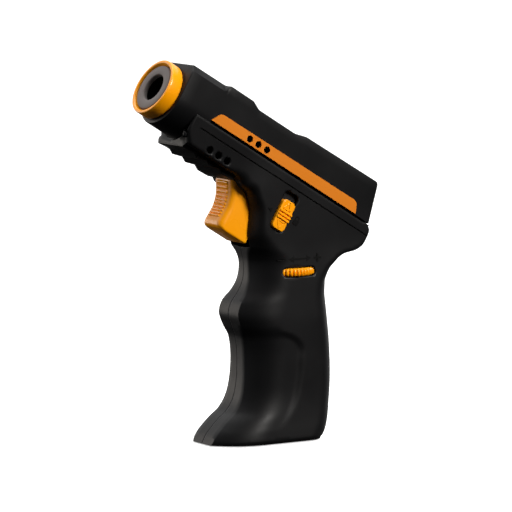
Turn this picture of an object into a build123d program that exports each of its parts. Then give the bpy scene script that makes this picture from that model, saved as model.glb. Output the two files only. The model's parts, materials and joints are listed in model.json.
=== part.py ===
from build123d import *
import math
import os

# Pistol-grip refillable gas torch. Millimetres. +Z is up and the torch stands on the flat
# underside of its grip. The muzzle points towards -X and upwards, and Y = 0 is the plane where
# the two housing shells meet. The thumb wheel and the lock slider are on the -Y side.
#
# Many parts are drawn in the barrel's own frame: s runs back along the barrel's axis from the
# muzzle, y is the same as outside, and h is the height above the axis.

# ---------------------------------------------------------------- driving dimensions
BARREL_TILT = 31.25
MUZZLE = (-48.8, 0, 148.4)
BARREL = Location(MUZZLE, (0, BARREL_TILT, 0))

WALL = 2.0
GAP = 0.35

COVER_HALF = 13.5
COVER_FRONT = 6.2
COVER_BOTTOM = -1.8
FRAME_HALF = 14.3
FRAME_TOP = -2.3
FRAME_FRONT = 16.4
UNDERSIDE = -16.4
FLANK_BOTTOM = -15.2

RING_RADIUS = 12.2
RING_LENGTH = 5.3
INSERT_RADIUS = 10.0
MOUTH_RADIUS = 5.8

STRIP_PROUD = 0.5
STRIP_SUNK = 0.8
COVER_VENTS = (44.0, 48.8, 53.6)
COVER_VENT_HEIGHT = 0.7
COVER_VENT_RADIUS = 1.5
FRAME_VENTS = (29.8, 34.6, 39.4)
FRAME_VENT_HEIGHT = -12.2
FRAME_VENT_RADIUS = 1.6

TRIGGER_HALF = 7.0
TRIGGER_TOP = -17.2
TRIGGER_BOTTOM = -35.7
TRIGGER_REAR = 68.5
TRIGGER_TRAVEL = 5.5

PIEZO_HEIGHT = -11.0
PIEZO_HALF = 4.5
PIEZO_FRONT = 75.2
PIEZO_REAR = 103.0
PLUNGER_HALF = 3.2

WHEEL_X = 12.75
WHEEL_Y = -6.0
WHEEL_Z = 70.1
WHEEL_RADIUS = 11.2
WHEEL_THICK = 3.2
WHEEL_FLUTES = 40
WINDOW_LENGTH = 15.6

SLIDER_S = 74.0
SLIDER_LOW = -25.2
SLIDER_LENGTH = 12.9
SLIDER_WIDTH = 6.5
SLIDER_TRAVEL = 3.4
POCKET_FLOOR = 12.3
PAD_DEPTH = 1.5

LEVER_PIVOT_X = 9.5
LEVER_PIVOT_Z = 90.0
LEVER_PIN_RADIUS = 1.25

TANK_BOTTOM = 10.0
TANK_TOP = 57.0
TANK_INSET = 3.2
TANK_FRONT = -4.5
TANK_WALL = 1.4
LID_THICK = 3.0

CAP_THICK = 2.4
FILL_X = 6.0
FILL_TRAVEL = 1.6

SCREW_RADIUS = 1.1
SCREW_HEAD_RADIUS = 2.2
BOSS_RADIUS = 3.2

# Grip levels: height, front edge x, half width of the flat front strip, half width of the
# grip, depth over which the strip swells to the full width, rear edge x.
GRIP_LEVELS = (
    (0.0, -25.6, 7.6, 18.0, 12.0, 26.0),
    (3.0, -23.9, 7.6, 17.6, 12.0, 27.6),
    (6.5, -20.9, 7.6, 17.2, 12.0, 28.7),
    (9.5, -18.0, 7.6, 16.9, 11.0, 29.4),
    (13.0, -13.5, 7.6, 16.6, 11.0, 30.0),
    (18.0, -10.3, 7.5, 16.3, 12.5, 30.6),
    (25.0, -8.7, 7.0, 16.1, 14.5, 31.0),
    (35.0, -8.3, 6.4, 16.0, 15.0, 31.0),
    (43.0, -9.0, 6.6, 16.0, 14.0, 30.4),
    (48.0, -11.0, 7.2, 16.0, 12.0, 30.0),
    (53.0, -12.6, 7.5, 15.9, 9.5, 29.2),
    (57.5, -11.2, 7.4, 15.7, 9.0, 28.5),
    (62.0, -7.8, 6.0, 15.4, 11.0, 28.2),
    (67.0, -5.5, 4.4, 15.1, 14.0, 28.2),
    (74.0, -5.2, 3.8, 14.6, 14.5, 27.0),
    (80.0, -6.4, 6.0, 14.1, 10.0, 25.0),
    (86.0, -7.8, 7.5, 14.0, 5.5, 22.0),
    (96.0, -7.2, 7.5, 14.0, 5.0, 16.0),
    (103.0, -8.9, 7.5, 14.0, 5.0, 10.0),
)
REAR_CORNER = 9.0


# ---------------------------------------------------------------- small helpers
def side_face(points):
    return Plane.XZ * make_face(Polyline(*points, close=True))


def slab(points, y_from, y_to):
    """Prism of a side outline between two lateral positions."""
    return Pos(0, y_from, 0) * extrude(side_face(points), -(y_to - y_from))


def block(s_from, s_to, y_from, y_to, h_from, h_to):
    size = Box(s_to - s_from, y_to - y_from, h_to - h_from)
    return Pos((s_from + s_to) / 2, (y_from + y_to) / 2, (h_from + h_to) / 2) * size


def rod_x(radius, x_from, x_to, y=0.0, z=0.0):
    return Pos((x_from + x_to) / 2, y, z) * Rot(0, 90, 0) * Cylinder(radius, x_to - x_from)


def rod_y(radius, y_from, y_to, x=0.0, z=0.0):
    return Pos(x, (y_from + y_to) / 2, z) * Rot(90, 0, 0) * Cylinder(radius, y_to - y_from)


def rod_z(radius, z_from, z_to, x=0.0, y=0.0):
    return Pos(x, y, (z_from + z_to) / 2) * Cylinder(radius, z_to - z_from)


def tube_x(outer, inner, x_from, x_to, y=0.0, z=0.0):
    return rod_x(outer, x_from, x_to, y, z) - rod_x(inner, x_from - 1, x_to + 1, y, z)


def world_point(s, h):
    """Side position outside the barrel frame of a point given along and above the barrel."""
    angle = math.radians(BARREL_TILT)
    x = MUZZLE[0] + s * math.cos(angle) + h * math.sin(angle)
    z = MUZZLE[2] - s * math.sin(angle) + h * math.cos(angle)
    return (x, z)


def upper_half():
    return Pos(0, 250, 0) * Box(800, 500, 800)


def one_solid(shape):
    """The largest solid of a result, so that no stray sliver is written."""
    solids = shape.solids()
    return max(solids, key=lambda solid: solid.volume)


# ---------------------------------------------------------------- grip sections
def grip_section(level, inset=0.0, front_limit=None):
    z, front, strip, half, depth, rear = level
    x_front = front + inset
    if front_limit is not None:
        x_front = max(x_front, front_limit)
    half_in = half - inset
    strip_in = max(strip - 0.8 * inset, 1.6)
    if x_front > front + inset:
        strip_in = strip_in + 1.2 * (x_front - front - inset)
    strip_in = min(strip_in, half_in - 2.0)
    x_side = front + inset + depth
    x_rear = rear - inset
    corner = REAR_CORNER - inset
    swell = []
    steps = 4
    for i in range(1, steps):
        t = i / steps
        x = x_front + (x_side - x_front) * t
        swell.append((x, strip_in + (half_in - strip_in) * (1 - (1 - t) ** 2.2)))
    right_swell = [(x_front, strip_in)] + swell + [(x_side, half_in)]
    left_swell = [(x, -y) for x, y in reversed(right_swell)]
    diagonal = corner * math.sqrt(0.5)
    arc_x = x_rear - corner + diagonal
    arc_y = half_in - corner + diagonal
    edges = Line((x_front, -strip_in), (x_front, strip_in))
    edges += Spline(*right_swell)
    edges += Line((x_side, half_in), (x_rear - corner, half_in))
    edges += ThreePointArc((x_rear - corner, half_in), (arc_x, arc_y), (x_rear, half_in - corner))
    edges += Line((x_rear, half_in - corner), (x_rear, corner - half_in))
    edges += ThreePointArc((x_rear, corner - half_in), (arc_x, -arc_y), (x_rear - corner, -half_in))
    edges += Line((x_rear - corner, -half_in), (x_side, -half_in))
    edges += Spline(*left_swell)
    return Pos(0, 0, z) * make_face(edges)


def grip_loft(inset, z_from, z_to, front_limit=None):
    """Loft of the grip's sections between two heights, shrunk inwards by an inset."""
    levels = []
    for low, high in zip(GRIP_LEVELS, GRIP_LEVELS[1:]):
        if low[0] >= z_from and low[0] <= z_to:
            levels.append(low)
        for cut in (z_from, z_to):
            if low[0] < cut < high[0]:
                t = (cut - low[0]) / (high[0] - low[0])
                levels.append(tuple(a + (b - a) * t for a, b in zip(low, high)))
    if GRIP_LEVELS[-1][0] <= z_to:
        levels.append(GRIP_LEVELS[-1])
    levels.sort()
    return loft([grip_section(level, inset, front_limit) for level in levels])


# ---------------------------------------------------------------- barrel cover
COVER_TOP = (
    (COVER_FRONT, 14.3),
    (24.6, 14.4),
    (26.2, 15.2),
    (38.5, 15.1),
    (42.4, 13.3),
    (62.0, 13.3),
    (68.6, 14.8),
    (109.6, 15.4),
)
COVER_FOOT = 114.1
COVER_WALL = 1.8
NOSE_END = 24.0
NOSE_BORE = 11.35


def strip_outline():
    points = ((23.8, -1.45), (26.8, 3.1), (103.8, 3.35), (105.7, -1.45))
    face = side_face(points)
    top = face.vertices().sort_by(Axis.Z)[-2:].sort_by(Axis.X)
    face = fillet(top[0], 2.4)
    rear = face.vertices().sort_by(Axis.Z)[-2:].sort_by(Axis.X)
    return fillet(rear[-1], 2.6)


def strip_solid(side, y_from, y_to):
    lateral = extrude(strip_outline(), -(y_to - y_from))
    near = Pos(0, y_from, 0) * lateral
    return near if side > 0 else mirror(near, about=Plane.XZ)


def barrel_cover():
    outline = [(COVER_FRONT, COVER_BOTTOM), *COVER_TOP, (COVER_FOOT, COVER_BOTTOM)]
    shell = slab(outline, -COVER_HALF, COVER_HALF)
    edges = [
        edge
        for edge in shell.edges()
        if abs(abs(edge.center().Y) - COVER_HALF) < 0.01 and edge.center().Z > 5 and edge.length > 1.7
    ]
    shell = chamfer(edges, 0.7)
    for side in (-1, 1):
        corner = Polyline((0, side * 14.5, 10.8), (0, side * 10.3, 15.0), (0, side * 14.5, 15.6), close=True)
        shell -= extrude(make_face(corner), 25.0, dir=(1, 0, 0))
    shell += rod_x(COVER_HALF, COVER_FRONT, NOSE_END)
    shell -= rod_x(NOSE_BORE, 0, NOSE_END + 1)
    inside = [(NOSE_END, -3)]
    inside += [(max(s, NOSE_END) + (0 if s < 100 else -COVER_WALL), h - COVER_WALL) for s, h in COVER_TOP[1:]]
    inside += [(COVER_FOOT - 2 * COVER_WALL, -3)]
    shell -= slab(inside, COVER_WALL - COVER_HALF, COVER_HALF - COVER_WALL)
    for s in COVER_VENTS:
        shell -= rod_y(COVER_VENT_RADIUS, -20, 20, s, COVER_VENT_HEIGHT)
    for side in (-1, 1):
        shell -= strip_solid(side, COVER_HALF - STRIP_SUNK, COVER_HALF + 2)
    return one_solid(shell)


def side_strip(side):
    strip = strip_solid(side, COVER_HALF - STRIP_SUNK, COVER_HALF + STRIP_PROUD)
    for s in COVER_VENTS:
        strip -= rod_y(COVER_VENT_RADIUS, -20, 20, s, COVER_VENT_HEIGHT)
    return one_solid(strip)


# ---------------------------------------------------------------- nozzle and burner
def turned(points):
    """Body of revolution about the barrel's axis from (s, radius) points."""
    return one_solid(revolve(side_face(points), Axis.X))


def nozzle_ring():
    return turned(
        (
            (0.0, 10.1),
            (0.0, RING_RADIUS - 0.7),
            (0.2, RING_RADIUS - 0.2),
            (0.7, RING_RADIUS),
            (RING_LENGTH, RING_RADIUS),
            (RING_LENGTH, 11.25),
            (13.0, 11.25),
            (13.0, 10.1),
        )
    )


def nozzle_insert():
    return turned(
        (
            (0.9, MOUTH_RADIUS),
            (0.5, MOUTH_RADIUS + 0.4),
            (0.5, INSERT_RADIUS - 0.6),
            (1.6, INSERT_RADIUS - 0.6),
            (1.6, INSERT_RADIUS),
            (4.0, INSERT_RADIUS),
            (4.0, 7.7),
            (9.0, 7.7),
            (9.0, 6.9),
            (2.5, 6.9),
            (2.5, MOUTH_RADIUS),
        )
    )


BURNER_END = 43.0
SHIELD_RADIUS = 9.6
ELECTRODE_H = 8.05
ELECTRODE_END = 36.6
BURNER_OUTER = 6.8
MIXER_RADIUS = 8.0
THROAT_RADIUS = 2.5
JET_FRONT = 55.8
JET_REAR = 62.0
PIPE_RADIUS = 1.0


def burner_tube():
    return tube_x(BURNER_OUTER, MOUTH_RADIUS, 2.6, BURNER_END)


def flame_holder():
    disc = rod_x(MOUTH_RADIUS, 24.0, 25.6)
    holes = 6
    for i in range(holes):
        angle = 2 * math.pi * i / holes
        disc -= rod_x(1.0, 20, 30, 3.5 * math.cos(angle), 3.5 * math.sin(angle))
    disc -= rod_x(1.3, 20, 30)
    return disc


def heat_shield():
    return tube_x(SHIELD_RADIUS, SHIELD_RADIUS - 0.4, 4.1, 36.0)


def mixer_body():
    body = turned(
        (
            (39.5, BURNER_OUTER),
            (39.5, MIXER_RADIUS),
            (46.0, MIXER_RADIUS),
            (52.0, 4.6),
            (60.0, 4.6),
            (60.0, 3.1),
            (57.4, 3.1),
            (57.4, THROAT_RADIUS),
            (50.0, THROAT_RADIUS),
            (46.0, MOUTH_RADIUS),
            (BURNER_END, MOUTH_RADIUS),
            (BURNER_END, BURNER_OUTER),
        )
    )
    ports = 4
    for i in range(ports):
        body -= Rot(45 + 360 * i / ports, 0, 0) * Pos(54.6, 0, 0) * Cylinder(1.1, 20)
    return one_solid(body)


def gas_jet():
    return turned(
        (
            (JET_FRONT, 0.25),
            (JET_FRONT, 1.1),
            (57.6, 1.6),
            (57.6, 3.05),
            (JET_REAR, 3.05),
            (JET_REAR, PIPE_RADIUS),
            (60.0, PIPE_RADIUS),
            (60.0, 0.25),
        )
    )


def burner_bracket():
    plate = block(43.1, 44.3, -11.6, 11.6, -13.9, 11.3)
    plate -= rod_x(MIXER_RADIUS, 40, 50)
    plate -= rod_x(1.1, 40, 50, 0, 9.9)
    return one_solid(plate)


def electrode_tube():
    return tube_x(1.1, 0.55, 12.0, 36.2, 0, ELECTRODE_H)


def electrode_rod():
    return rod_x(0.5, 9.3, ELECTRODE_END, 0, ELECTRODE_H)


# ---------------------------------------------------------------- pipe and wire
WIRE_RADIUS = 0.7
WIRE_HEIGHT = 9.9


def piped(points, radii, radius):
    """Round tube along straight runs joined by tangent arcs."""
    path = FilletPolyline(*points, radius=radii)
    start = Plane(origin=path @ 0, z_dir=path % 0)
    return sweep(start * Circle(radius), path=path)


def gas_pipe():
    path = [
        (WHEEL_X + 5.4, WHEEL_Y, VALVE_OUTLET_Z),
        (WHEEL_X + 11.4, WHEEL_Y, VALVE_OUTLET_Z),
        (WHEEL_X + 12.2, WHEEL_Y - 2.0, VALVE_OUTLET_Z + 17.0),
    ]
    for s, y, h in ((86.0, -7.5, 2.0), (72.0, -4.0, 2.5), (66.0, 0.0, 0.0), (60.0, 0.0, 0.0)):
        x, z = world_point(s, h)
        path.append((x, y, z))
    return one_solid(piped(path, [3.4, 6.0, 8.0, 4.0, 4.0], PIPE_RADIUS))


def ignition_wire():
    path = [
        (ELECTRODE_END, 0, ELECTRODE_H),
        (ELECTRODE_END + 0.8, 0, ELECTRODE_H),
        (40.6, 0, WIRE_HEIGHT),
        (79.0, 0, WIRE_HEIGHT),
        (79.0, 0, PIEZO_HEIGHT + PIEZO_HALF),
    ]
    return one_solid(piped(path, [0.7, 2.0, 5.0], WIRE_RADIUS))


# ---------------------------------------------------------------- housing shells
RIB_PITCH = 7.15
RIB_START = 26.6
RIB_COUNT = 4
RIB_DEPTH = 1.1
RIB_HALF = 10.0
LIP_S = 19.6
SCREW_POINTS = (
    world_point(50.5, -9.6),
    world_point(108.3, -8.2),
    (-8.0, 54.4),
    (20.5, 6.2),
    (-13.0, 6.2),
)
SCREW_SEAT = 9.0
BOSS_REACH = (13.0, 13.0, 9.6, 15.9, 12.5)


def flank_outline(inset):
    """Side outline of the frame above the grip, shrunk inwards by an inset."""
    front = [
        world_point(FRAME_FRONT + (0 if inset == 0 else 9.6), FRAME_TOP + 3 * inset),
        world_point(114.6 - inset, FRAME_TOP + 3 * inset),
    ]
    tang = [
        world_point(s - inset * lean, h + inset * rise)
        for s, h, lean, rise in (
            (116.3, -4.2, 1.0, 0.0),
            (116.5, -8.0, 1.0, 0.1),
            (115.6, -12.0, 0.9, 0.4),
            (112.6, -15.8, 0.7, 0.7),
            (109.4, -18.6, 0.8, 0.6),
            (107.6, -23.0, 1.0, 0.1),
            (107.2, -28.0, 1.0, 0.0),
        )
    ]
    lower = [(24.0, 66.0 + inset), (4.0, 68.0 + inset), (0.5, 78.0)]
    lower += [(-3.6 + inset, 88.0), (-3.8 + inset, 98.0)]
    if inset == 0:
        nose = [world_point(56.0, FLANK_BOTTOM), world_point(18.2, FLANK_BOTTOM), world_point(15.9, -8.8)]
    else:
        nose = [world_point(57.0, FLANK_BOTTOM + 1), world_point(26.0, FLANK_BOTTOM + 1)]
    edges = Line(front[0], front[1]) + Line(front[1], tang[0]) + Spline(*tang)
    edges += Polyline(tang[-1], *lower, *nose, front[0])
    return Plane.XZ * make_face(edges)


def flank_prism(half, inset):
    return extrude(flank_outline(inset), half, both=True)


def belly():
    """Shallow V under the frame, its front lip and its saw-tooth ribs, in the barrel frame."""
    section = Polyline(
        (LIP_S, -FRAME_HALF, FLANK_BOTTOM + 0.2),
        (LIP_S, -RIB_HALF, UNDERSIDE + 0.4),
        (LIP_S, RIB_HALF, UNDERSIDE + 0.4),
        (LIP_S, FRAME_HALF, FLANK_BOTTOM + 0.2),
        (LIP_S, FRAME_HALF - 3, FLANK_BOTTOM + 4),
        (LIP_S, 3 - FRAME_HALF, FLANK_BOTTOM + 4),
        close=True,
    )
    keel = extrude(make_face(section), 36.0, dir=(1, 0, 0))
    teeth = [(LIP_S, UNDERSIDE + 2), (LIP_S, UNDERSIDE + 0.2)]
    for i in range(RIB_COUNT):
        riser = RIB_START + i * RIB_PITCH
        teeth.append((riser - 0.6, UNDERSIDE + 0.7))
        teeth.append((riser, UNDERSIDE + 0.7 - RIB_DEPTH))
    teeth.append((55.0, UNDERSIDE))
    teeth.append((55.0, UNDERSIDE + 2))
    return keel + slab(teeth, -RIB_HALF, RIB_HALF)


def housing():
    """Both housing shells as one body, before it is parted along the middle plane."""
    body = grip_loft(0, 0, GRIP_LEVELS[-1][0]) + flank_prism(FRAME_HALF, 0) + BARREL * belly()
    room = grip_loft(WALL, 0, GRIP_LEVELS[-1][0]) + flank_prism(FRAME_HALF - WALL, WALL)
    body -= room
    for (x, z), reach in zip(SCREW_POINTS, BOSS_REACH):
        body += rod_y(BOSS_RADIUS, -reach, reach, x, z)
    stop = block(PIEZO_REAR + 0.05, PIEZO_REAR + 1.6, -12.6, 12.6, -16.0, -5.5)
    stop -= block(PIEZO_REAR - 1, PIEZO_REAR + 3, -1.5, 1.5, -20, 0)
    body += BARREL * stop
    for side in (-1, 1):
        for s in (84.0, 98.5):
            low, high = sorted((side * (PIEZO_HALF + 0.05), side * 12.6))
            body += BARREL * block(s, s + 1.5, low, high, -15.8, -6.2)
    hub = rod_y(LEVER_PIN_RADIUS + 1.1, -13.0, 13.0, LEVER_PIVOT_X, LEVER_PIVOT_Z)
    hub -= rod_y(8.0, LEVER_Y - 2.2, 20.0, LEVER_PIVOT_X, LEVER_PIVOT_Z) - rod_y(
        8.0, 2.0, 20.0, LEVER_PIVOT_X, LEVER_PIVOT_Z
    )
    body += hub
    body -= BARREL * rod_x(COVER_HALF + GAP, 0, NOSE_END + 0.5)
    body -= BARREL * rod_x(SHIELD_RADIUS + 0.4, 0, BURNER_END)
    body -= BARREL * block(40, 78, -7.35, 7.35, TRIGGER_BOTTOM - 0.4, TRIGGER_TOP + 0.3)
    body -= BARREL * block(59.5, 78, -7.35, 7.35, TRIGGER_BOTTOM - 0.4, -5)
    body -= BARREL * block(0, 130, -30, 30, FRAME_TOP, 40)
    for side in (-1, 1):
        for s in FRAME_VENTS:
            low, high = sorted((side * 11.0, side * 20.0))
            body -= BARREL * rod_y(FRAME_VENT_RADIUS, low, high, s, FRAME_VENT_HEIGHT)
        low, high = sorted((side * (FRAME_HALF - 0.5), side * 16.0))
        body -= BARREL * block(20.5, 114.6, low, high, -7.2, -6.4)
    return body


def left_shell(body):
    shell = body - upper_half()
    pad = block(SLIDER_S - 7, SLIDER_S + 7, -POCKET_FLOOR - 1.0, PAD_DEPTH - POCKET_FLOOR, -28, -6.5)
    shell += BARREL * pad
    low = SLIDER_LOW - GAP
    high = SLIDER_LOW + SLIDER_LENGTH + SLIDER_TRAVEL + GAP
    half = SLIDER_WIDTH / 2 + GAP
    pocket = block(SLIDER_S - half, SLIDER_S + half, -20, -POCKET_FLOOR, low, high)
    pocket = fillet(pocket.edges().filter_by(Axis.Y), 1.8)
    neck_low, neck_high = SLIDER_NECK
    slit = block(SLIDER_S - 1.5, SLIDER_S + 1.5, -20, 0, neck_low - GAP, neck_high + SLIDER_TRAVEL + GAP)
    shell -= BARREL * pocket
    shell -= BARREL * slit
    window = SlotOverall(WINDOW_LENGTH, WHEEL_THICK + 2 * GAP)
    shell -= Pos(WHEEL_X, -12, WHEEL_Z) * extrude(Plane.XZ * window, 10)
    shell -= wheel_room() + lever_pin()
    for x, z in SCREW_POINTS:
        shell -= rod_y(SCREW_RADIUS + 0.05, SCREW_END, 5, x, z)
    return one_solid(shell)


def right_shell(body):
    shell = body & upper_half()
    shell -= wheel_room() + lever_pin()
    for x, z in SCREW_POINTS:
        shell -= rod_y(SCREW_RADIUS + 0.15, -5, 20, x, z)
        shell -= rod_y(SCREW_HEAD_RADIUS + 0.2, SCREW_SEAT, 30, x, z)
    return one_solid(shell)


def wheel_room():
    room = WHEEL_THICK / 2 + GAP
    return rod_z(WHEEL_RADIUS + GAP, WHEEL_Z - room, WHEEL_Z + room, WHEEL_X, WHEEL_Y)


SCREW_END = -7.0


def housing_screws():
    screws = []
    for x, z in SCREW_POINTS:
        screw = rod_y(SCREW_RADIUS, SCREW_END + 0.3, SCREW_SEAT + 0.5, x, z)
        head = rod_y(SCREW_HEAD_RADIUS, SCREW_SEAT, SCREW_SEAT + 1.7, x, z)
        cross = Pos(x, SCREW_SEAT + 1.4, z) * (Box(2.6, 1.2, 0.6) + Box(0.6, 1.2, 2.6))
        screws.append(one_solid(screw + head - cross))
    return Compound(children=screws)


# ---------------------------------------------------------------- trigger and igniter
# Height and front position of the trigger's finger face, from its top down to its lip.
TRIGGER_FACE = (
    (TRIGGER_TOP, 49.6),
    (-20.0, 51.4),
    (-23.0, 52.7),
    (-26.5, 53.5),
    (-30.0, 53.5),
    (-33.0, 53.3),
    (TRIGGER_BOTTOM, 53.7),
)
TRIGGER_CORNER = 2.6
TRIGGER_GROOVES = 9
GROOVE_FIRST = -18.9
GROOVE_STEP = 1.75


def trigger_section(h, s_front):
    """Flat section of the trigger, rounded at its two front corners."""
    outline = Polyline(
        (s_front, -TRIGGER_HALF),
        (s_front, TRIGGER_HALF),
        (TRIGGER_REAR, TRIGGER_HALF),
        (TRIGGER_REAR, -TRIGGER_HALF),
        close=True,
    )
    face = make_face(outline)
    face = fillet(face.vertices().sort_by(Axis.X)[:2], TRIGGER_CORNER)
    return Pos(0, 0, h) * face


def trigger():
    body = loft([trigger_section(h, s) for h, s in reversed(TRIGGER_FACE)])
    for i in range(TRIGGER_GROOVES):
        h = GROOVE_FIRST - i * GROOVE_STEP
        body -= rod_y(0.4, -4.9, 4.9, face_position(h) - 0.1, h)
    body += block(61.5, TRIGGER_REAR, -6.5, 6.5, TRIGGER_TOP - 1, -6.8)
    return one_solid(body)


def face_position(h):
    """Front position of the finger face at a height, between the listed heights."""
    for (h_top, s_top), (h_low, s_low) in zip(TRIGGER_FACE, TRIGGER_FACE[1:]):
        if h_low <= h <= h_top:
            share = (h_top - h) / (h_top - h_low)
            return s_top + share * (s_low - s_top)
    return TRIGGER_FACE[-1][1]


PIEZO_BORE = PLUNGER_HALF + 0.05
SPRING_RADIUS = 2.0
SPRING_WIRE = 0.3


def piezo_box(s_from, s_to, half):
    return block(s_from, s_to, -half, half, PIEZO_HEIGHT - half, PIEZO_HEIGHT + half)


def piezo_case():
    case = piezo_box(PIEZO_FRONT, PIEZO_REAR, PIEZO_HALF)
    case = chamfer(case.edges().filter_by(Axis.X), 0.6)
    return one_solid(case - piezo_box(PIEZO_FRONT - 1, 94, PIEZO_BORE))


def piezo_plunger():
    plunger = piezo_box(TRIGGER_REAR, 86, PLUNGER_HALF)
    plunger = chamfer(plunger.edges().filter_by(Axis.X), 0.4)
    return one_solid(plunger - rod_x(2.6, 72, 90, 0, PIEZO_HEIGHT))


def piezo_spring():
    coil = Helix(pitch=2.2, height=21.0, radius=SPRING_RADIUS)
    wire = Plane(origin=coil @ 0, z_dir=coil % 0) * Circle(SPRING_WIRE)
    spring = sweep(wire, path=coil, is_frenet=True)
    return Pos(72.5, 0, PIEZO_HEIGHT) * Rot(0, 90, 0) * one_solid(spring)


# ---------------------------------------------------------------- lock slider
SLIDER_NECK = (-20.8, -16.8)


def lock_slider():
    half = SLIDER_WIDTH / 2
    high = SLIDER_LOW + SLIDER_LENGTH
    cap = block(SLIDER_S - half, SLIDER_S + half, -15.7, -POCKET_FLOOR - 0.2, SLIDER_LOW, high)
    cap = fillet(cap.edges().filter_by(Axis.Y), 1.5)
    middle = (SLIDER_LOW + high) / 2
    for step in (-1, 0, 1):
        h = middle + 1.3 * step
        cap += block(SLIDER_S - half + 0.4, SLIDER_S + half - 0.4, -16.1, -15.5, h - 0.3, h + 0.3)
    neck = block(SLIDER_S - 1.1, SLIDER_S + 1.1, -13, -9.6, *SLIDER_NECK)
    plate = block(SLIDER_S - 2.8, SLIDER_S + 2.8, -10.4, -9.4, -24.0, -14.0)
    return one_solid(cap + neck + plate)


# ---------------------------------------------------------------- gas lever, valve and wheel
LEVER_Y = -5.5
LEVER_HALF = 1.3
PIN_END = 11.5
VALVE_RADIUS = 3.0
VALVE_TOP = 76.6
VALVE_OUTLET_Z = 74.9
STEM_RADIUS = 1.2
STEM_LIFT = 0.9
FORK_LOW = 77.5
FORK_HIGH = 78.7
FORK_FRONT = 3.6
SLOT_FRONT = 6.5


def gas_lever():
    x, z = LEVER_PIVOT_X, LEVER_PIVOT_Z
    y_from = LEVER_Y - LEVER_HALF
    y_to = LEVER_Y + LEVER_HALF
    pad_low = world_point(71.2, -33.2)
    pad_high = world_point(71.2, -30.8)
    outline = [
        (x - 0.5, z + 2.2),
        (x + 2.2, z),
        (x - 1.5, z - 6.0),
        (SLOT_FRONT - 0.2, 81.0),
        (SLOT_FRONT - 0.2, FORK_LOW),
        (FORK_FRONT, FORK_LOW),
        (FORK_FRONT, 80.0),
        (FORK_FRONT - 1.6, z - 5.5),
        (pad_low[0] + 1.6, pad_low[1] - 0.2),
        pad_low,
        pad_high,
    ]
    lever = slab(outline, y_from, y_to) + rod_y(2.8, y_from, y_to, x, z)
    prongs = block(FORK_FRONT, WHEEL_X + 2.6, WHEEL_Y - 3.0, WHEEL_Y + 3.0, FORK_LOW, FORK_HIGH)
    prongs -= block(SLOT_FRONT, WHEEL_X + 6, WHEEL_Y - 1.5, WHEEL_Y + 1.5, FORK_LOW - 1, FORK_HIGH + 1)
    lever += prongs
    lever -= rod_y(LEVER_PIN_RADIUS + 0.05, -20, 20, x, z)
    return one_solid(lever)


def lever_pin():
    return rod_y(LEVER_PIN_RADIUS, -PIN_END, PIN_END, LEVER_PIVOT_X, LEVER_PIVOT_Z)


def valve_body():
    body = rod_z(VALVE_RADIUS, TANK_TOP + LID_THICK, VALVE_TOP, WHEEL_X, WHEEL_Y)
    body += rod_z(4.6, TANK_TOP + LID_THICK, TANK_TOP + LID_THICK + 3.0, WHEEL_X, WHEEL_Y)
    body += rod_z(2.0, TANK_TOP - 4.0, TANK_TOP + LID_THICK + 1, WHEEL_X, WHEEL_Y)
    body += rod_x(1.6, WHEEL_X, WHEEL_X + 5.4, WHEEL_Y, VALVE_OUTLET_Z)
    body -= rod_z(STEM_RADIUS + 0.06, 64, VALVE_TOP + 1, WHEEL_X, WHEEL_Y)
    body -= rod_z(0.6, TANK_TOP - 6, 70, WHEEL_X, WHEEL_Y)
    return one_solid(body)


def valve_stem():
    stem = rod_z(STEM_RADIUS, 65.0, 82.0, WHEEL_X, WHEEL_Y)
    stem += rod_z(2.6, FORK_HIGH + 0.4, FORK_HIGH + 1.4, WHEEL_X, WHEEL_Y)
    return one_solid(stem)


def flow_wheel():
    low = WHEEL_Z - WHEEL_THICK / 2
    wheel = rod_z(WHEEL_RADIUS, low, low + WHEEL_THICK, WHEEL_X, WHEEL_Y)
    wheel = chamfer(wheel.edges(), 0.5)
    for i in range(WHEEL_FLUTES):
        angle = 2 * math.pi * i / WHEEL_FLUTES
        x = WHEEL_X + (WHEEL_RADIUS + 0.12) * math.cos(angle)
        y = WHEEL_Y + (WHEEL_RADIUS + 0.12) * math.sin(angle)
        wheel -= rod_z(0.45, low - 1, low + WHEEL_THICK + 1, x, y)
    wheel -= rod_z(VALVE_RADIUS + 0.05, low - 1, low + WHEEL_THICK + 1, WHEEL_X, WHEEL_Y)
    return one_solid(wheel)


# ---------------------------------------------------------------- tank, filler and base
def gas_tank():
    tank = grip_loft(TANK_INSET, TANK_BOTTOM, TANK_TOP, TANK_FRONT)
    room = grip_loft(TANK_INSET + TANK_WALL, TANK_BOTTOM + TANK_WALL, TANK_TOP + 0.5, TANK_FRONT + TANK_WALL)
    tank -= room
    tank -= rod_z(FILL_RADIUS, 0, 30, FILL_X, 0)
    return one_solid(tank)


def tank_lid():
    lid = grip_loft(TANK_INSET, TANK_TOP, TANK_TOP + LID_THICK, TANK_FRONT)
    plug = grip_loft(TANK_INSET + TANK_WALL + 0.35, TANK_TOP - 2.0, TANK_TOP, TANK_FRONT + TANK_WALL + 0.35)
    lid += plug
    lid -= rod_z(2.0, TANK_TOP - 10, TANK_TOP + 10, WHEEL_X, WHEEL_Y)
    return one_solid(lid)


FILL_RADIUS = 3.4
FILL_PORT_RADIUS = 2.2
FILL_PORT_DEPTH = 4.0
FILL_STEM_RADIUS = 1.0


def fill_valve():
    """Filler in the grip's underside, with a port that a refill nozzle is pushed into."""
    body = rod_z(FILL_RADIUS, 0.6, 20.0, FILL_X, 0)
    body += rod_z(5.0, CAP_THICK + 0.1, TANK_BOTTOM - 1.3, FILL_X, 0)
    body -= rod_z(FILL_PORT_RADIUS, -1, FILL_PORT_DEPTH + 0.6, FILL_X, 0)
    body -= rod_z(FILL_STEM_RADIUS + 0.06, 0, 18.0, FILL_X, 0)
    body -= rod_z(0.5, 10, 30, FILL_X, 0)
    return one_solid(body)


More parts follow.
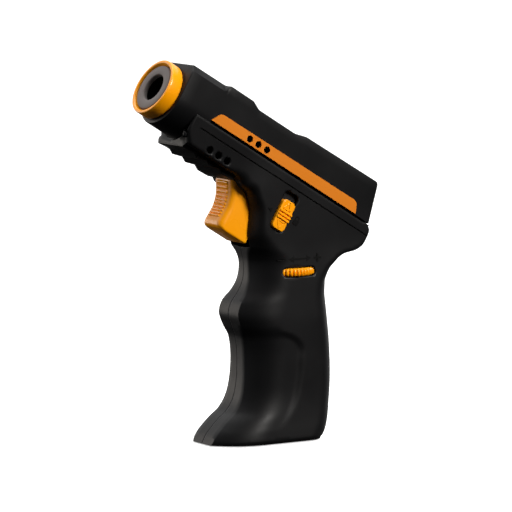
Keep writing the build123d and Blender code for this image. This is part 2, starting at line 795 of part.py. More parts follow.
def fill_stem():
    return rod_z(FILL_STEM_RADIUS, 2.6, 15.5, FILL_X, 0)


def fill_seal():
    ring = Torus(FILL_RADIUS + 0.6, 0.6)
    return Pos(FILL_X, 0, TANK_BOTTOM - 0.65) * ring


def base_cap():
    cap = grip_loft(WALL + 0.05, 0.0, CAP_THICK)
    cap -= rod_z(FILL_RADIUS + 0.1, -1, 10, FILL_X, 0)
    for x, z in SCREW_POINTS:
        cap -= rod_y(BOSS_RADIUS + 0.1, -30, 30, x, z)
    return one_solid(cap)


# ---------------------------------------------------------------- writing the parts
def in_barrel(shape):
    return BARREL * shape


def main():
    os.makedirs("parts", exist_ok=True)
    body = housing()
    parts = {
        "left_shell": left_shell(body),
        "right_shell": right_shell(body),
        "barrel_cover": in_barrel(barrel_cover()),
        "side_strip_left": in_barrel(side_strip(-1)),
        "side_strip_right": in_barrel(side_strip(1)),
        "nozzle_ring": in_barrel(nozzle_ring()),
        "nozzle_insert": in_barrel(nozzle_insert()),
        "burner_tube": in_barrel(burner_tube()),
        "flame_holder": in_barrel(flame_holder()),
        "heat_shield": in_barrel(heat_shield()),
        "mixer_body": in_barrel(mixer_body()),
        "gas_jet": in_barrel(gas_jet()),
        "burner_bracket": in_barrel(burner_bracket()),
        "electrode_tube": in_barrel(electrode_tube()),
        "electrode_rod": in_barrel(electrode_rod()),
        "ignition_wire": in_barrel(ignition_wire()),
        "gas_pipe": gas_pipe(),
        "trigger": in_barrel(trigger()),
        "piezo_case": in_barrel(piezo_case()),
        "piezo_plunger": in_barrel(piezo_plunger()),
        "piezo_spring": in_barrel(piezo_spring()),
        "lock_slider": in_barrel(lock_slider()),
        "gas_lever": gas_lever(),
        "lever_pin": lever_pin(),
        "valve_body": valve_body(),
        "valve_stem": valve_stem(),
        "flow_wheel": flow_wheel(),
        "gas_tank": gas_tank(),
        "tank_lid": tank_lid(),
        "fill_valve": fill_valve(),
        "fill_stem": fill_stem(),
        "fill_seal": fill_seal(),
        "base_cap": base_cap(),
        "housing_screws": housing_screws(),
    }
    for name, shape in parts.items():
        export_step(shape, f"parts/{name}.step")


main()
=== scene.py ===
import json
import math

import bmesh
import bpy
from mathutils import Matrix, Vector
from mathutils.geometry import delaunay_2d_cdt

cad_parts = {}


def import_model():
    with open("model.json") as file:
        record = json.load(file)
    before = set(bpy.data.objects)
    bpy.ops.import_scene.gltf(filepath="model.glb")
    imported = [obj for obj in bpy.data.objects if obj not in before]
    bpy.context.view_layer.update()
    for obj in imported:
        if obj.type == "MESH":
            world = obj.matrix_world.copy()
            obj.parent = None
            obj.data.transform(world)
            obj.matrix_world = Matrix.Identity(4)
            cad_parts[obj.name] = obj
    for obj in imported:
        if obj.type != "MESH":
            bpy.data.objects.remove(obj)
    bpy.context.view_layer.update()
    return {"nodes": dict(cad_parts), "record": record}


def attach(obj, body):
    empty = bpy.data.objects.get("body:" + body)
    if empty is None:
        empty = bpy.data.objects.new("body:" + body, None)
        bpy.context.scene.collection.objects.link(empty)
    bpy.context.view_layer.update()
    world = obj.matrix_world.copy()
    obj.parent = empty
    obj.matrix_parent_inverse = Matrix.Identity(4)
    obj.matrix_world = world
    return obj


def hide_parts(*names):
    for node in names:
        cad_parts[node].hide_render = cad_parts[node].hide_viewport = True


# Looks of a pistol-grip gas torch. The frame is in metres, and the dimensions below are in
# millimetres until they are scaled by MM. A point (x, z) lies in the side view, where x runs back
# and z runs up. A point (s, h) lies in the barrel's frame: s runs back along the barrel from the
# muzzle and h is the height above its axis. y runs across, and is negative on the left side.

MM = 0.001
TILT = math.radians(31.25)
MUZZLE_X = -48.8
MUZZLE_Z = 148.4
BARREL = Matrix.Translation((MUZZLE_X, 0, MUZZLE_Z)) @ Matrix.Rotation(TILT, 4, "Y")

# ---------------- dimensions of the housing
# Tables over the height z: x of the front edge, half width of the flat strip down the front,
# half width of the grip, depth over which the front swells out to it, and x of the rear edge.
FRONT = (
    (0, -25.5), (4, -23.2), (8, -19.4), (10, -17.2), (13, -13.4), (18, -10.3), (25, -8.7),
    (35, -8.3), (43, -9.1), (48, -11.0), (53, -12.5), (57.5, -11.2), (62, -7.8), (67, -5.5),
    (74, -5.2), (80, -6.4), (86, -7.7), (96, -7.0), (103, -8.9),
)
STRIP = (
    (0, 7.6), (14, 7.6), (20, 7.3), (27, 6.7), (35, 6.3), (43, 6.6), (49, 7.3), (55, 7.5),
    (59, 7.2), (63, 5.6), (68, 4.3), (74, 3.8), (78, 5.0), (81, 7.35), (110, 7.35),
)
WIDTH = (
    (0, 17.9), (4, 17.5), (10, 16.9), (18, 16.4), (35, 16.0), (50, 15.9), (62, 15.4),
    (72, 14.8), (82, 14.3), (110, 14.3),
)
SWELL = (
    (0, 21.0), (6, 19.5), (12, 17.5), (18, 16.0), (27, 15.2), (36, 15.4), (44, 15.2), (50, 16.6),
    (56, 18.5), (61, 17.0), (67, 14.5), (75, 15.0), (81, 10.0), (87, 6.0), (96, 4.5), (110, 3.6),
)
SWELL_POWER = 2.4
REAR = (
    (0, 25.8), (3, 27.6), (8, 29.2), (14, 30.1), (22, 30.9), (30, 31.1), (40, 30.7), (50, 29.7),
    (60, 28.7), (66, 28.3),
)
GRIP_TOP = 108
SWELL_FADE_S = (45.0, 67.0)
SWELL_FADE_Z = (99, GRIP_TOP)
SWELL_FADE_FROM = 90
REAR_CORNER = 9.0
TANG_CORNER = 1.6
TANG_BLEND = (58, 80)
FOOT_EDGE = 2.2
FOOT_DROP = 0.8

# Frame under the barrel, as (s, h), with the tang behind it and the edge of its nose.
RAIL_TOP = -2.5
RAIL_FRONT = 16.4
RAIL_REAR = 114.4
RAIL_EDGE = 0.8
FLANK_BOTTOM = -14.8
FLANK_FRONT = 20.2
FLANK_HALF = 14.3
LOW_EDGE = 1.2
CORNER_EDGE = 2.6
CORNER_GROW = (40.0, 53.0)
CORNER_FADE = (56.0, 66.0)
NOSE_SOFT = 0.6
NOSE_SOFT_LOW = 1.4
NOSE_SOFT_GROW = (6.0, 14.0)
FLANK_LIMIT = (60, -16.5)
DRAFT = 1.3
DRAFT_FADE = (46.0, 62.0)
FAR_SET_BACK = 5.2
TANG = (
    (114.4, -2.5), (115.9, -3.8), (116.4, -6.8), (116.1, -10.8), (114.2, -14.2), (111.9, -16.3),
    (110.0, -18.1), (108.7, -20.4), (108.0, -23.4), (107.6, -26.6),
)
NOSE_EDGE = ((18.9, -13.4), (17.3, -11.4), (16.3, -8.8), (16.4, -2.5))
GROOVE = -6.8
GROOVE_LEVELS = (GROOVE - 0.45, GROOVE - 0.3, GROOVE + 0.3, GROOVE + 0.45)
GROOVE_LINE = (20.5, 115.6)
GROOVE_CUT = (21.0, 115.8)
GROOVE_DEPTH = 0.5
GROOVE_HALF = 0.4

# Shallow panel low in the grip's side, with x of its rear edge by height.
PANEL_SPAN = (6, 50)
PANEL_DEPTH = 1.0
PANEL_RISE = (4.0, 22.0)
PANEL_FALL = (43, 48.5)
PANEL_EDGE = (
    (7, 3.0), (11, 6.6), (15, 9.2), (20, 11.2), (28, 12.9), (34, 13.4), (39, 13.6), (43, 10.0),
    (46, 3.0),
)

# Openings: the trigger's in front, vents, slider slot as (s, s, h, h), wheel slot as (x, x, z, z),
# and screws in the frame as (s, h) and in the grip as (x, z).
OPENING_TOP = 105.8
OPENING_LOW = 80.8
OPENING_HALF = 7.35
FRAME_VENTS = (29.8, 34.6, 39.4)
FRAME_VENT_LEVEL = -12.2
FRAME_VENT_RADIUS = 1.6
SLIDER_SLOT = (70.3, 77.7, -25.7, -8.5)
WHEEL_SLOT = (4.95, 20.55, 68.15, 72.05)
FRAME_SCREWS = ((50.5, -9.6), (108.3, -8.2))
GRIP_SCREWS = ((-8.0, 54.4), (20.5, 6.2), (-13.0, 6.2))
SCREW_HOLE = 1.3
WELL_BORE = 2.4
WELL_RADIUS = 3.1
WELL_FLOOR = 8.2
WELL_SUNK = 0.5

# How near to the middle the shells' rims reach, and their rows as shares of the way there.
SEAM = 0.08
RAIL_RIM = 12.0
KEEL_RIM = 10.0
KEEL_RIM_END = 48.5
LIP_RIM = 10.6
LIP_RIM_END = 23.5
RIM_SHARES = (0.0, 0.36, 0.94, 1.0)
WALL = 1.6
THINNEST_WALL = 0.1
THIN_SPAN = (2.5, 7.0)
SEAM_INSET = 0.7
SEAM_REACH = 0.6
SEAM_WALL = 0.3

# Spacing of the points that the flanks are meshed from.
OUTLINE_STEP = 1.2
FRONT_STEP = 0.6
REAR_STEP = 0.9
EDGE_ROWS = (0.25, 0.6, 1.0, 1.5)
GRID_STEP = 1.15
GRID_CLEAR = 1.9
GRID_X = (-40.0, 56.0)
GRID_Z = (0.9, 140.0)

# ---------------- dimensions of the other pieces
# Keel under the frame and lip in front of it, which runs round the barrel's axis from a start and
# over a sweep in degrees. The frame's half section is given as (y, depth below the axis).
KEEL_HALF = 10.7
KEEL_TOP = -13.2
KEEL_END = 48.2
RIB_RISERS = (26.8, 34.0, 41.0)
RIB_STEP = 0.6
LIP = 19.6
LIP_START = -11
LIP_SWEEP = -152
LIP_STEPS = 56
LIP_BACK = 27.0
LIP_HIDDEN_FRONT = 25.0
LIP_SOFT = 0.8
SADDLE_EDGE = 16.7
BORE_CLEAR = 13.75
FAR_LIP_HALF = 10.2
FRAME_SECTION = ((13.95, 2.5), (11.6, 13.9), (9.8, 16.0), (0.0, 16.3))

# Trigger, with s of its face by level h, and its upper levels as (start, end, step).
FACE = (
    (-35.7, 54.1), (-34.6, 53.55), (-33.0, 53.3), (-30.0, 53.45), (-26.5, 53.5), (-22.4, 52.5),
    (-19.8, 51.2), (-17.2, 49.6), (-15.9, 49.1),
)
TRIGGER_LOW = -35.7
TRIGGER_LOW_LEVELS = (TRIGGER_LOW, -35.6, -35.4, -35.1, -34.7, -34.3)
TRIGGER_LEVELS = (-34.0, -15.95, 0.17)
TRIGGER_HALF = 7.0
TRIGGER_CORNER = 2.7
TRIGGER_REAR = 68.4
CREST_TOP = -16.9
CREST_LOW = -31.6
CREST_COUNT = 10
CREST_DEPTH = 0.7
CREST_CROWDING = 0.16
CARRIAGE = ((61.5, -17.3), (61.5, -6.8), (68.4, -6.8), (68.4, -17.3))
CARRIAGE_PLATE = (4.9, 6.5)

# Lock slider and the strips of its pocket's floor, as (s, s, h, h).
SLIDER = (70.75, 77.25, -25.2, -12.3)
SLIDER_FACE = -15.5
POCKET_FLOOR = (-12.3, -11.7)
POCKET_STRIPS = (
    (69.8, 72.5, -26.2, -8.0),
    (75.5, 78.2, -26.2, -8.0),
    (72.5, 75.5, -26.2, -21.2),
    (72.5, 75.5, -12.9, -8.0),
)

# Flow wheel, with its upright axis at (x, y).
WHEEL_AXIS = (12.75, -6.0)
WHEEL_LOW = 68.5
WHEEL_THICK = 3.2
WHEEL_RADIUS = 11.15
WHEEL_BORE = 3.05
FLUTES = 42
FLUTE_DEPTH = 0.75
FLUTE_STEPS = 10
CROWN_STEPS = 10
CROWN_DROP = 0.95
CROWN_POWER = 3.2

# Barrel cover, with the height of its top by s.
COVER_HALF = 13.5
COVER_LOW = -1.65
COVER_SKIRT = 1.6
COVER_PEAK = 15.4
COVER_WALL = 1.2
COVER_CHAMFER = 2.7
CHAMFER_LOSS = 1.6
COVER_STEP = (23.4, 25.4)
COVER_FRONT = 6.2
COVER_TOP = (
    (6.2, 14.3), (24.4, 14.4), (25.2, 14.6), (26.2, 15.2), (38.4, 15.15), (39.4, 14.75),
    (42.2, 13.45), (43.4, 13.3), (62.0, 13.3), (63.2, 13.35), (67.4, 14.45), (69.0, 14.8),
    (109.4, 15.4),
)
NOSE_END = 24.0
NOSE_BORE = 11.35
REAR_LEAN = 4.6
COVER_VENTS = (44.0, 48.8, 53.6)
COVER_VENT_LEVEL = 0.7
COVER_VENT_RADIUS = 1.5

# Turned profiles of the muzzle's ring and the burner's face, as (s, radius).
RING_PROFILE = (
    (0.35, 10.75), (0.08, 10.9), (0.0, 11.1), (0.0, 11.75), (0.12, 12.02), (0.4, 12.16),
    (0.8, 12.2), (5.0, 12.2), (5.22, 12.12), (5.3, 11.9), (5.3, 11.25), (13.0, 11.25),
    (13.0, 10.12), (1.5, 10.12),
)
FACE_PROFILE = (
    (0.95, 5.85), (0.62, 5.98), (0.5, 6.2), (0.5, 9.45), (0.6, 9.66), (0.85, 9.78), (1.6, 9.8),
    (1.6, 10.0), (4.0, 10.0), (4.0, 7.7), (9.0, 7.7), (9.0, 6.9), (2.5, 6.9), (2.5, 5.85),
)

# Raised marks on the left flank.
MARK_Z = 75.6
MARK_PROUD = 0.2
MARK_SUNK = 0.3
MARK_STEP = 0.5

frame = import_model()


# ---------------- barrel frame and curves
def world(s, h):
    """Side position (x, z) of a point given in the barrel's frame."""
    x = MUZZLE_X + s * math.cos(TILT) + h * math.sin(TILT)
    z = MUZZLE_Z - s * math.sin(TILT) + h * math.cos(TILT)
    return (x, z)


def local(x, z):
    """Barrel position (s, h) of a side position."""
    dx = x - MUZZLE_X
    dz = z - MUZZLE_Z
    return (dx * math.cos(TILT) - dz * math.sin(TILT), dx * math.sin(TILT) + dz * math.cos(TILT))


def smooth_step(value, low, high):
    """Share from 0 to 1 between two limits, level at both ends."""
    t = min(max((value - low) / (high - low), 0.0), 1.0)
    return t * t * (3 - 2 * t)


def smooth_table(table, key):
    """Value at a key in a table of (key, value) rows, along a smooth curve."""
    if key <= table[0][0]:
        return table[0][1]
    for i in range(len(table) - 1):
        k0, v0 = table[i]
        k1, v1 = table[i + 1]
        if key <= k1:
            before = table[max(i - 1, 0)]
            after = table[min(i + 2, len(table) - 1)]
            slope0 = (v1 - before[1]) / max(k1 - before[0], 1e-6) * (k1 - k0)
            slope1 = (after[1] - v0) / max(after[0] - k0, 1e-6) * (k1 - k0)
            t = (key - k0) / (k1 - k0)
            start = v0 * (2 * t**3 - 3 * t**2 + 1) + slope0 * (t**3 - 2 * t**2 + t)
            return start + v1 * (3 * t**2 - 2 * t**3) + slope1 * (t**3 - t**2)
    return table[-1][1]


def straight_table(table, key):
    """Value at a key in a table of (key, value) rows, along straight lines."""
    for (k0, v0), (k1, v1) in zip(table, table[1:]):
        if key <= k1:
            return v0 + (v1 - v0) * (key - k0) / (k1 - k0)
    return table[-1][1]


def chain(points, per_span):
    """Points of a smooth curve through the given ones."""
    result = []
    last = len(points) - 1
    for i in range(last):
        p0, p1, p2, p3 = points[max(i - 1, 0)], points[i], points[i + 1], points[min(i + 2, last)]
        for step in range(per_span):
            t = step / per_span
            point = []
            for a, b, c, d in zip(p0, p1, p2, p3):
                bend = 2 * b + (c - a) * t + (2 * a - 5 * b + 4 * c - d) * t * t
                point.append(0.5 * (bend + (3 * b - a - 3 * c + d) * t**3))
            result.append(tuple(point))
    result.append(tuple(points[-1]))
    return result


def spaced(points, step):
    """Line resampled so that no two neighbours are further apart than a step."""
    result = []
    for (x0, z0), (x1, z1) in zip(points, points[1:]):
        pieces = max(1, math.ceil(math.hypot(x1 - x0, z1 - z0) / step))
        for i in range(pieces):
            t = i / pieces
            result.append((x0 + t * (x1 - x0), z0 + t * (z1 - z0)))
    result.append(points[-1])
    return result


def stepped(start, end, step):
    """Even values from start to end, no further apart than a step."""
    pieces = math.ceil(abs(end - start) / step)
    return [start + (end - start) * i / pieces for i in range(pieces + 1)]


def edge_round(distance, radius):
    """Drop of a surface near an edge that is rounded off with a radius."""
    if distance >= radius:
        return 0.0
    return radius - math.sqrt(max(radius**2 - (radius - distance) ** 2, 0.0))


def line_distance(x, z, line, limit):
    """Distance to a line of points, or more than the limit when it is further away."""
    best = (2 * limit) ** 2
    for (x0, z0), (x1, z1) in zip(line, line[1:]):
        if min(abs(z0 - z), abs(z1 - z)) > 2 * limit:
            continue
        dx = x1 - x0
        dz = z1 - z0
        t = ((x - x0) * dx + (z - z0) * dz) / max(dx * dx + dz * dz, 1e-9)
        t = min(max(t, 0.0), 1.0)
        best = min(best, (x - x0 - t * dx) ** 2 + (z - z0 - t * dz) ** 2)
    return math.sqrt(best)


def inside(point, loop):
    """True when a point lies within a closed loop."""
    x, z = point
    found = False
    j = len(loop) - 1
    for i in range(len(loop)):
        xi, zi = loop[i]
        xj, zj = loop[j]
        if (zi > z) != (zj > z) and x < (xj - xi) * (z - zi) / (zj - zi) + xi:
            found = not found
        j = i
    return found


def clear(point, outline, limit):
    """True when a point is further from all points of an outline than a limit."""
    x, z = point
    return all((x - a) ** 2 + (z - b) ** 2 > limit**2 for a, b in outline)


# ---------------- mesh helpers
def add_mesh(name, points, faces, matrix=None):
    """Mesh object from points in millimetres, with its outside made to face outwards."""
    mesh = bpy.data.meshes.new(name)
    if matrix is not None:
        points = [matrix @ Vector(point) for point in points]
    mesh.from_pydata([Vector(point) * MM for point in points], [], faces)
    mesh.validate()
    edit = bmesh.new()
    edit.from_mesh(mesh)
    bmesh.ops.remove_doubles(edit, verts=edit.verts, dist=1e-6)
    bmesh.ops.recalc_face_normals(edit, faces=edit.faces)
    edit.to_mesh(mesh)
    edit.free()
    obj = bpy.data.objects.new(name, mesh)
    bpy.context.scene.collection.objects.link(obj)
    return obj


def skin(rows, width, closed=False):
    """Faces between neighbouring rows of points. Each row is a loop of one width."""
    faces = []
    for i in range(rows if closed else rows - 1):
        a = i * width
        b = (i + 1) % rows * width
        for j in range(width):
            k = (j + 1) % width
            faces.append((a + j, a + k, b + k, b + j))
    return faces


def loft(name, rows, matrix=BARREL):
    """Body skinned over rows of points, with flat ends."""
    width = len(rows[0])
    points = [point for row in rows for point in row]
    faces = [tuple(range(width)), tuple(range(len(points) - 1, len(points) - width - 1, -1))]
    return add_mesh(name, points, faces + skin(len(rows), width), matrix)


def prism(name, outline, y_from, y_to):
    """Prism of an outline in the barrel's frame, between two lateral positions."""
    return loft(name, [[(s, y, h) for s, h in outline] for y in (y_from, y_to)])


def lathe(name, profile, steps, matrix=BARREL):
    """Body turned about the matrix's X axis from (along, radius) points."""
    points = []
    for step in range(steps):
        angle = 2 * math.pi * step / steps
        for along, radius in profile:
            points.append((along, radius * math.cos(angle), radius * math.sin(angle)))
    return add_mesh(name, points, skin(steps, len(profile), closed=True), matrix)


def shade(obj, angle):
    """Smooth shading with creases kept sharp above an angle."""
    bpy.ops.object.select_all(action="DESELECT")
    obj.select_set(True)
    bpy.context.view_layer.objects.active = obj
    bpy.ops.object.shade_smooth_by_angle(angle=math.radians(angle))
    obj.select_set(False)


def bevel(obj, width, segments=3, angle=30):
    """Softens the edges that are sharper than an angle."""
    modifier = obj.modifiers.new("soft_edges", "BEVEL")
    modifier.width = width * MM
    modifier.segments = segments
    modifier.limit_method = "ANGLE"
    modifier.angle_limit = math.radians(angle)
    modifier.harden_normals = True


def thicken(obj, thickness, offset=-1):
    """Gives a surface a wall."""
    wall = obj.modifiers.new("wall", "SOLIDIFY")
    wall.thickness = thickness * MM
    wall.offset = offset
    return wall


def drill(obj, cutters):
    """Cuts the cutters out of an object for good, and removes them."""
    for cutter in cutters:
        cut = obj.modifiers.new("hole", "BOOLEAN")
        cut.operation = "DIFFERENCE"
        cut.solver = "EXACT"
        cut.object = cutter
    graph = bpy.context.evaluated_depsgraph_get()
    mesh = bpy.data.meshes.new_from_object(obj.evaluated_get(graph))
    obj.modifiers.clear()
    obj.data = mesh
    for cutter in cutters:
        bpy.data.objects.remove(cutter)


def circle(x, z, radius, steps=28):
    """Circle as an outline."""
    angles = [2 * math.pi * i / steps for i in range(steps)]
    return [(x + radius * math.cos(a), z + radius * math.sin(a)) for a in angles]


def rounded_box(x0, x1, z0, z1, radius, steps=5):
    """Corner-rounded rectangle as an outline."""
    points = []
    corners = ((x1 - radius, z1 - radius, 0), (x0 + radius, z1 - radius, 90))
    corners += ((x0 + radius, z0 + radius, 180), (x1 - radius, z0 + radius, 270))
    for cx, cz, start in corners:
        for i in range(steps + 1):
            angle = math.radians(start + 90 * i / steps)
            points.append((cx + radius * math.cos(angle), cz + radius * math.sin(angle)))
    return points


def bar(x0, z0, x1, z1, width):
    """Outline of a straight stroke between two points."""
    length = math.hypot(x1 - x0, z1 - z0)
    nx = -(z1 - z0) / length * width / 2
    nz = (x1 - x0) / length * width / 2
    return [(x0 + nx, z0 + nz), (x1 + nx, z1 + nz), (x1 - nx, z1 - nz), (x0 - nx, z0 - nz)]


# ---------------- housing outline
def set_back(side):
    """How far the frame's front edge stands back on a side; the lip covers it on the far one."""
    return 0.0 if side < 0 else FAR_SET_BACK


def nose_edge(h):
    """Front edge s of the frame's flank at a level."""
    return smooth_table(((FLANK_BOTTOM, FLANK_FRONT), *((h0, s0) for s0, h0 in NOSE_EDGE)), h)


def rear_line():
    """Rear of the housing, down the tang and the grip's back."""
    tang = chain([world(s, h) for s, h in TANG] + [(28.3, 66.0), (28.45, 64.0)], 5)
    rear = [(smooth_table(REAR, z), z) for z in stepped(63.1, 0.0, REAR_STEP)]
    return tang[:-1] + rear


def opening_corner():
    """Edge of the frame above the trigger, from the grip's front up to the flank's lower edge."""
    start = (smooth_table(FRONT, OPENING_TOP - 4), OPENING_TOP - 4)
    low = [start, (-9.7, 103.9), (-12.6, 106.6)]
    return chain(low + [world(49.8, -15.35), world(46.5, FLANK_BOTTOM)], 4)


def housing_outline(side):
    """Side outline, from the rail's front corner over the top and down the rear to the front."""
    back = set_back(side)
    rail = [world(RAIL_FRONT + back, RAIL_TOP), world(RAIL_REAR, RAIL_TOP)]
    top = spaced(rail, OUTLINE_STEP)
    base = spaced([(smooth_table(REAR, 0), 0.0), (smooth_table(FRONT, 0), 0.0)], OUTLINE_STEP)
    levels = stepped(FRONT_STEP, OPENING_TOP - 4, FRONT_STEP)
    front = [(smooth_table(FRONT, z), z) for z in levels]
    corner = opening_corner()
    flank_front = world(FLANK_FRONT + back, FLANK_BOTTOM)
    bottom = spaced([world(46.5, FLANK_BOTTOM), flank_front], OUTLINE_STEP)
    nose = chain([flank_front] + [world(s + back, h) for s, h in NOSE_EDGE], 4)
    return top[:-1] + REAR_LINE + base[1:] + front[1:-1] + corner[:-1] + bottom[:-1] + nose[:-1]


REAR_LINE = rear_line()
CORNER_LINE = opening_corner() + [world(s, FLANK_BOTTOM) for s in (43.0, 39.0, 35.0)]
SCREWS = [world(s, h) for s, h in FRAME_SCREWS] + list(GRIP_SCREWS)


# ---------------- housing surface
def housing_height(x, z):
    """Half width of the housing at a side position, before the frame's edges are rounded."""
    s, h = local(x, z)
    half = smooth_table(WIDTH, z)
    if s < FLANK_LIMIT[0] and h > FLANK_LIMIT[1]:
        half = FLANK_HALF
    lean = min(max((RAIL_TOP - h) / (RAIL_TOP - FLANK_BOTTOM), 0.0), 1.0)
    half -= DRAFT * lean * (1 - smooth_step(s, *DRAFT_FADE))
    height = half
    if z < GRIP_TOP:
        depth = smooth_table(SWELL, z)
        d = max(x - smooth_table(FRONT, z), 0.0)
        if d < depth:
            share = 1.0
            if z > SWELL_FADE_FROM:
                share = smooth_step(s, *SWELL_FADE_S) * (1 - smooth_step(z, *SWELL_FADE_Z))
            strip = smooth_table(STRIP, z)
            swell = strip + (half - strip) * (1 - (1 - d / depth) ** SWELL_POWER)
            height += (swell - half) * share
    if x > 0 and h < RAIL_TOP:
        radius = REAR_CORNER + (TANG_CORNER - REAR_CORNER) * smooth_step(z, *TANG_BLEND)
        height -= edge_round(line_distance(x, z, REAR_LINE, radius), radius)
    height -= FOOT_DROP * (1 - smooth_step(z, 0, FOOT_EDGE)) ** 2
    return height - panel_depth(x, z)


def panel_depth(x, z):
    """Depth of the shallow panel in the grip's side."""
    if not PANEL_SPAN[0] < z < PANEL_SPAN[1]:
        return 0.0
    edge = smooth_table(PANEL_EDGE, z)
    across = 1 - smooth_step(x, edge - 2.0, edge + 1.2)
    upright = smooth_step(z, *PANEL_RISE) * (1 - smooth_step(z, *PANEL_FALL))
    return PANEL_DEPTH * across * upright


def housing_drop(x, z, side):
    """Drop of the surface at the frame's rounded edges."""
    s, h = local(x, z)
    drop = 0.0
    if h > -30 and s < 112 and z > 78:
        drop += edge_round(max(RAIL_TOP - h, 0.0), RAIL_EDGE)
    if s < 38:
        drop += edge_round(max(h - FLANK_BOTTOM, 0.0), LOW_EDGE)
    elif s < 66 and z > 97:
        radius = LOW_EDGE + CORNER_EDGE * smooth_step(s, *CORNER_GROW)
        fade = 1 - smooth_step(s, *CORNER_FADE)
        drop += fade * edge_round(line_distance(x, z, CORNER_LINE, radius), radius)
    if s < 57:
        radius = NOSE_SOFT + NOSE_SOFT_LOW * smooth_step(-h, *NOSE_SOFT_GROW)
        drop += edge_round(max(s - nose_edge(h) - set_back(side), 0.0), radius)
    return drop


def half_width(x, z, side):
    """Half width of the finished housing at a side position."""
    return housing_height(x, z) - housing_drop(x, z, side)


def rim_limit(x, z):
    """Where the rim ends: at the parting plane, or at what closes the gap there."""
    s, h = local(x, z)
    if h > RAIL_TOP - 0.2:
        return RAIL_RIM
    if s < KEEL_RIM_END and h < FLANK_BOTTOM + 0.3:
        return KEEL_RIM
    if s < LIP_RIM_END and h < RAIL_TOP:
        return LIP_RIM + 1.8 * (1 - smooth_step(-h, 11.0, 14.0))
    if OPENING_LOW < z < 111 and x < 0:
        return OPENING_HALF
    return SEAM


def wall_share(x, z):
    """Wall thickness as a share of the full one: thin beside the trigger, which slides past it."""
    if not OPENING_LOW - 2 < z < 112:
        return 1.0
    return smooth_step(x - smooth_table(FRONT, z), *THIN_SPAN)


# ---------------- housing shells
def housing_holes(side):
    """Outlines of the openings in one flank."""
    vents = [circle(s, FRAME_VENT_LEVEL, FRAME_VENT_RADIUS) for s in FRAME_VENTS]
    holes = [[world(s, h) for s, h in vent] for vent in vents]
    if side < 0:
        holes.append([world(s, h) for s, h in rounded_box(*SLIDER_SLOT, 1.9)])
        holes.append(rounded_box(*WHEEL_SLOT, 1.94))
    else:
        holes += [circle(x, z, WELL_BORE, 20) for x, z in SCREWS]
    return holes


def inner_points(outline, holes):
    """Rows of points that follow the outline's edge closely, and grid points inside them."""
    result = []
    count = len(outline)
    for i, (x, z) in enumerate(outline):
        px, pz = outline[i - 1]
        nx, nz = outline[(i + 1) % count]
        tx = nx - px
        tz = nz - pz
        length = math.hypot(tx, tz)
        for offset in EDGE_ROWS:
            for sign in (1, -1):
                spot = (x - sign * tz / length * offset, z + sign * tx / length * offset)
                if inside(spot, outline) and clear(spot, outline, offset * 0.85):
                    result.append(spot)
                    break
    row = 0
    z = GRID_Z[0]
    while z < GRID_Z[1]:
        x = GRID_X[0] + (row % 2) * GRID_STEP / 2
        while x < GRID_X[1]:
            if inside((x, z), outline) and clear((x, z), outline, GRID_CLEAR):
                if not any(inside((x, z), hole) for hole in holes):
                    result.append((x, z))
            x += GRID_STEP
        z += GRID_STEP * 0.866
        row += 1
    return result


def in_hole(points, face, holes):
    """True when the middle of a face lies in a hole."""
    middle = sum((points[i] for i in face), Vector((0, 0))) / len(face)
    return any(inside(middle, hole) for hole in holes)


def side_mesh(outline, holes):
    """Flat mesh of one flank, with the groove's edges in it and its holes left open."""
    points = []
    edges = []
    for loop in [outline] + holes:
        start = len(points)
        points += loop
        count = len(loop)
        edges += [(start + i, start + (i + 1) % count) for i in range(count)]
    for level in GROOVE_LEVELS:
        line = spaced([world(s, level) for s in GROOVE_LINE], OUTLINE_STEP)
        start = len(points)
        points += line
        edges += [(start + i, start + i + 1) for i in range(len(line) - 1)]
    points += inner_points(outline, holes)
    around = [list(range(len(outline)))]
    vectors = [Vector(point) for point in points]
    flat, _, faces, _, _, _ = delaunay_2d_cdt(vectors, edges, around, 1, 1e-4)
    return flat, [tuple(face) for face in faces if not in_hole(flat, face, holes)]


def housing_shell(name, side):
    """One half of the housing: its flank, and a rim that turns in towards the parting plane."""
    outline = housing_outline(side)
    flat, faces = side_mesh(outline, housing_holes(side))
    points = []
    for x, z in flat:
        s, h = local(x, z)
        y = half_width(x, z, side)
        if abs(h - GROOVE) < GROOVE_HALF and GROOVE_CUT[0] < s < GROOVE_CUT[1]:
            y -= GROOVE_DEPTH
        points.append((x, side * y, z))
    rim_from = len(points)
    for share in RIM_SHARES:
        for x, z in outline:
            outer = half_width(x, z, side)
            points.append((x, side * (outer + (rim_limit(x, z) - outer) * share), z))
    for quad in skin(len(RIM_SHARES), len(outline)):
        faces.append(tuple(rim_from + i for i in quad))
    shell = add_mesh(name, points, faces)
    facing = sum(face.normal.y * face.area for face in shell.data.polygons)
    if facing * side < 0:
        shell.data.flip_normals()
    wall = thicken(shell, WALL)
    wall.use_even_offset = False
    thin = shell.vertex_groups.new(name="wall_share")
    for vertex in shell.data.vertices:
        x, _, z = vertex.co / MM
        thin.add([vertex.index], wall_share(x, z), "REPLACE")
    wall.vertex_group = thin.name
    wall.thickness_vertex_group = THINNEST_WALL
    return shell


left_housing = housing_shell("left_housing", -1)
right_housing = housing_shell("right_housing", 1)
for shell, node in ((left_housing, "left_shell"), (right_housing, "right_shell")):
    shade(shell, 36)
    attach(shell, "housing")
    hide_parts(node)


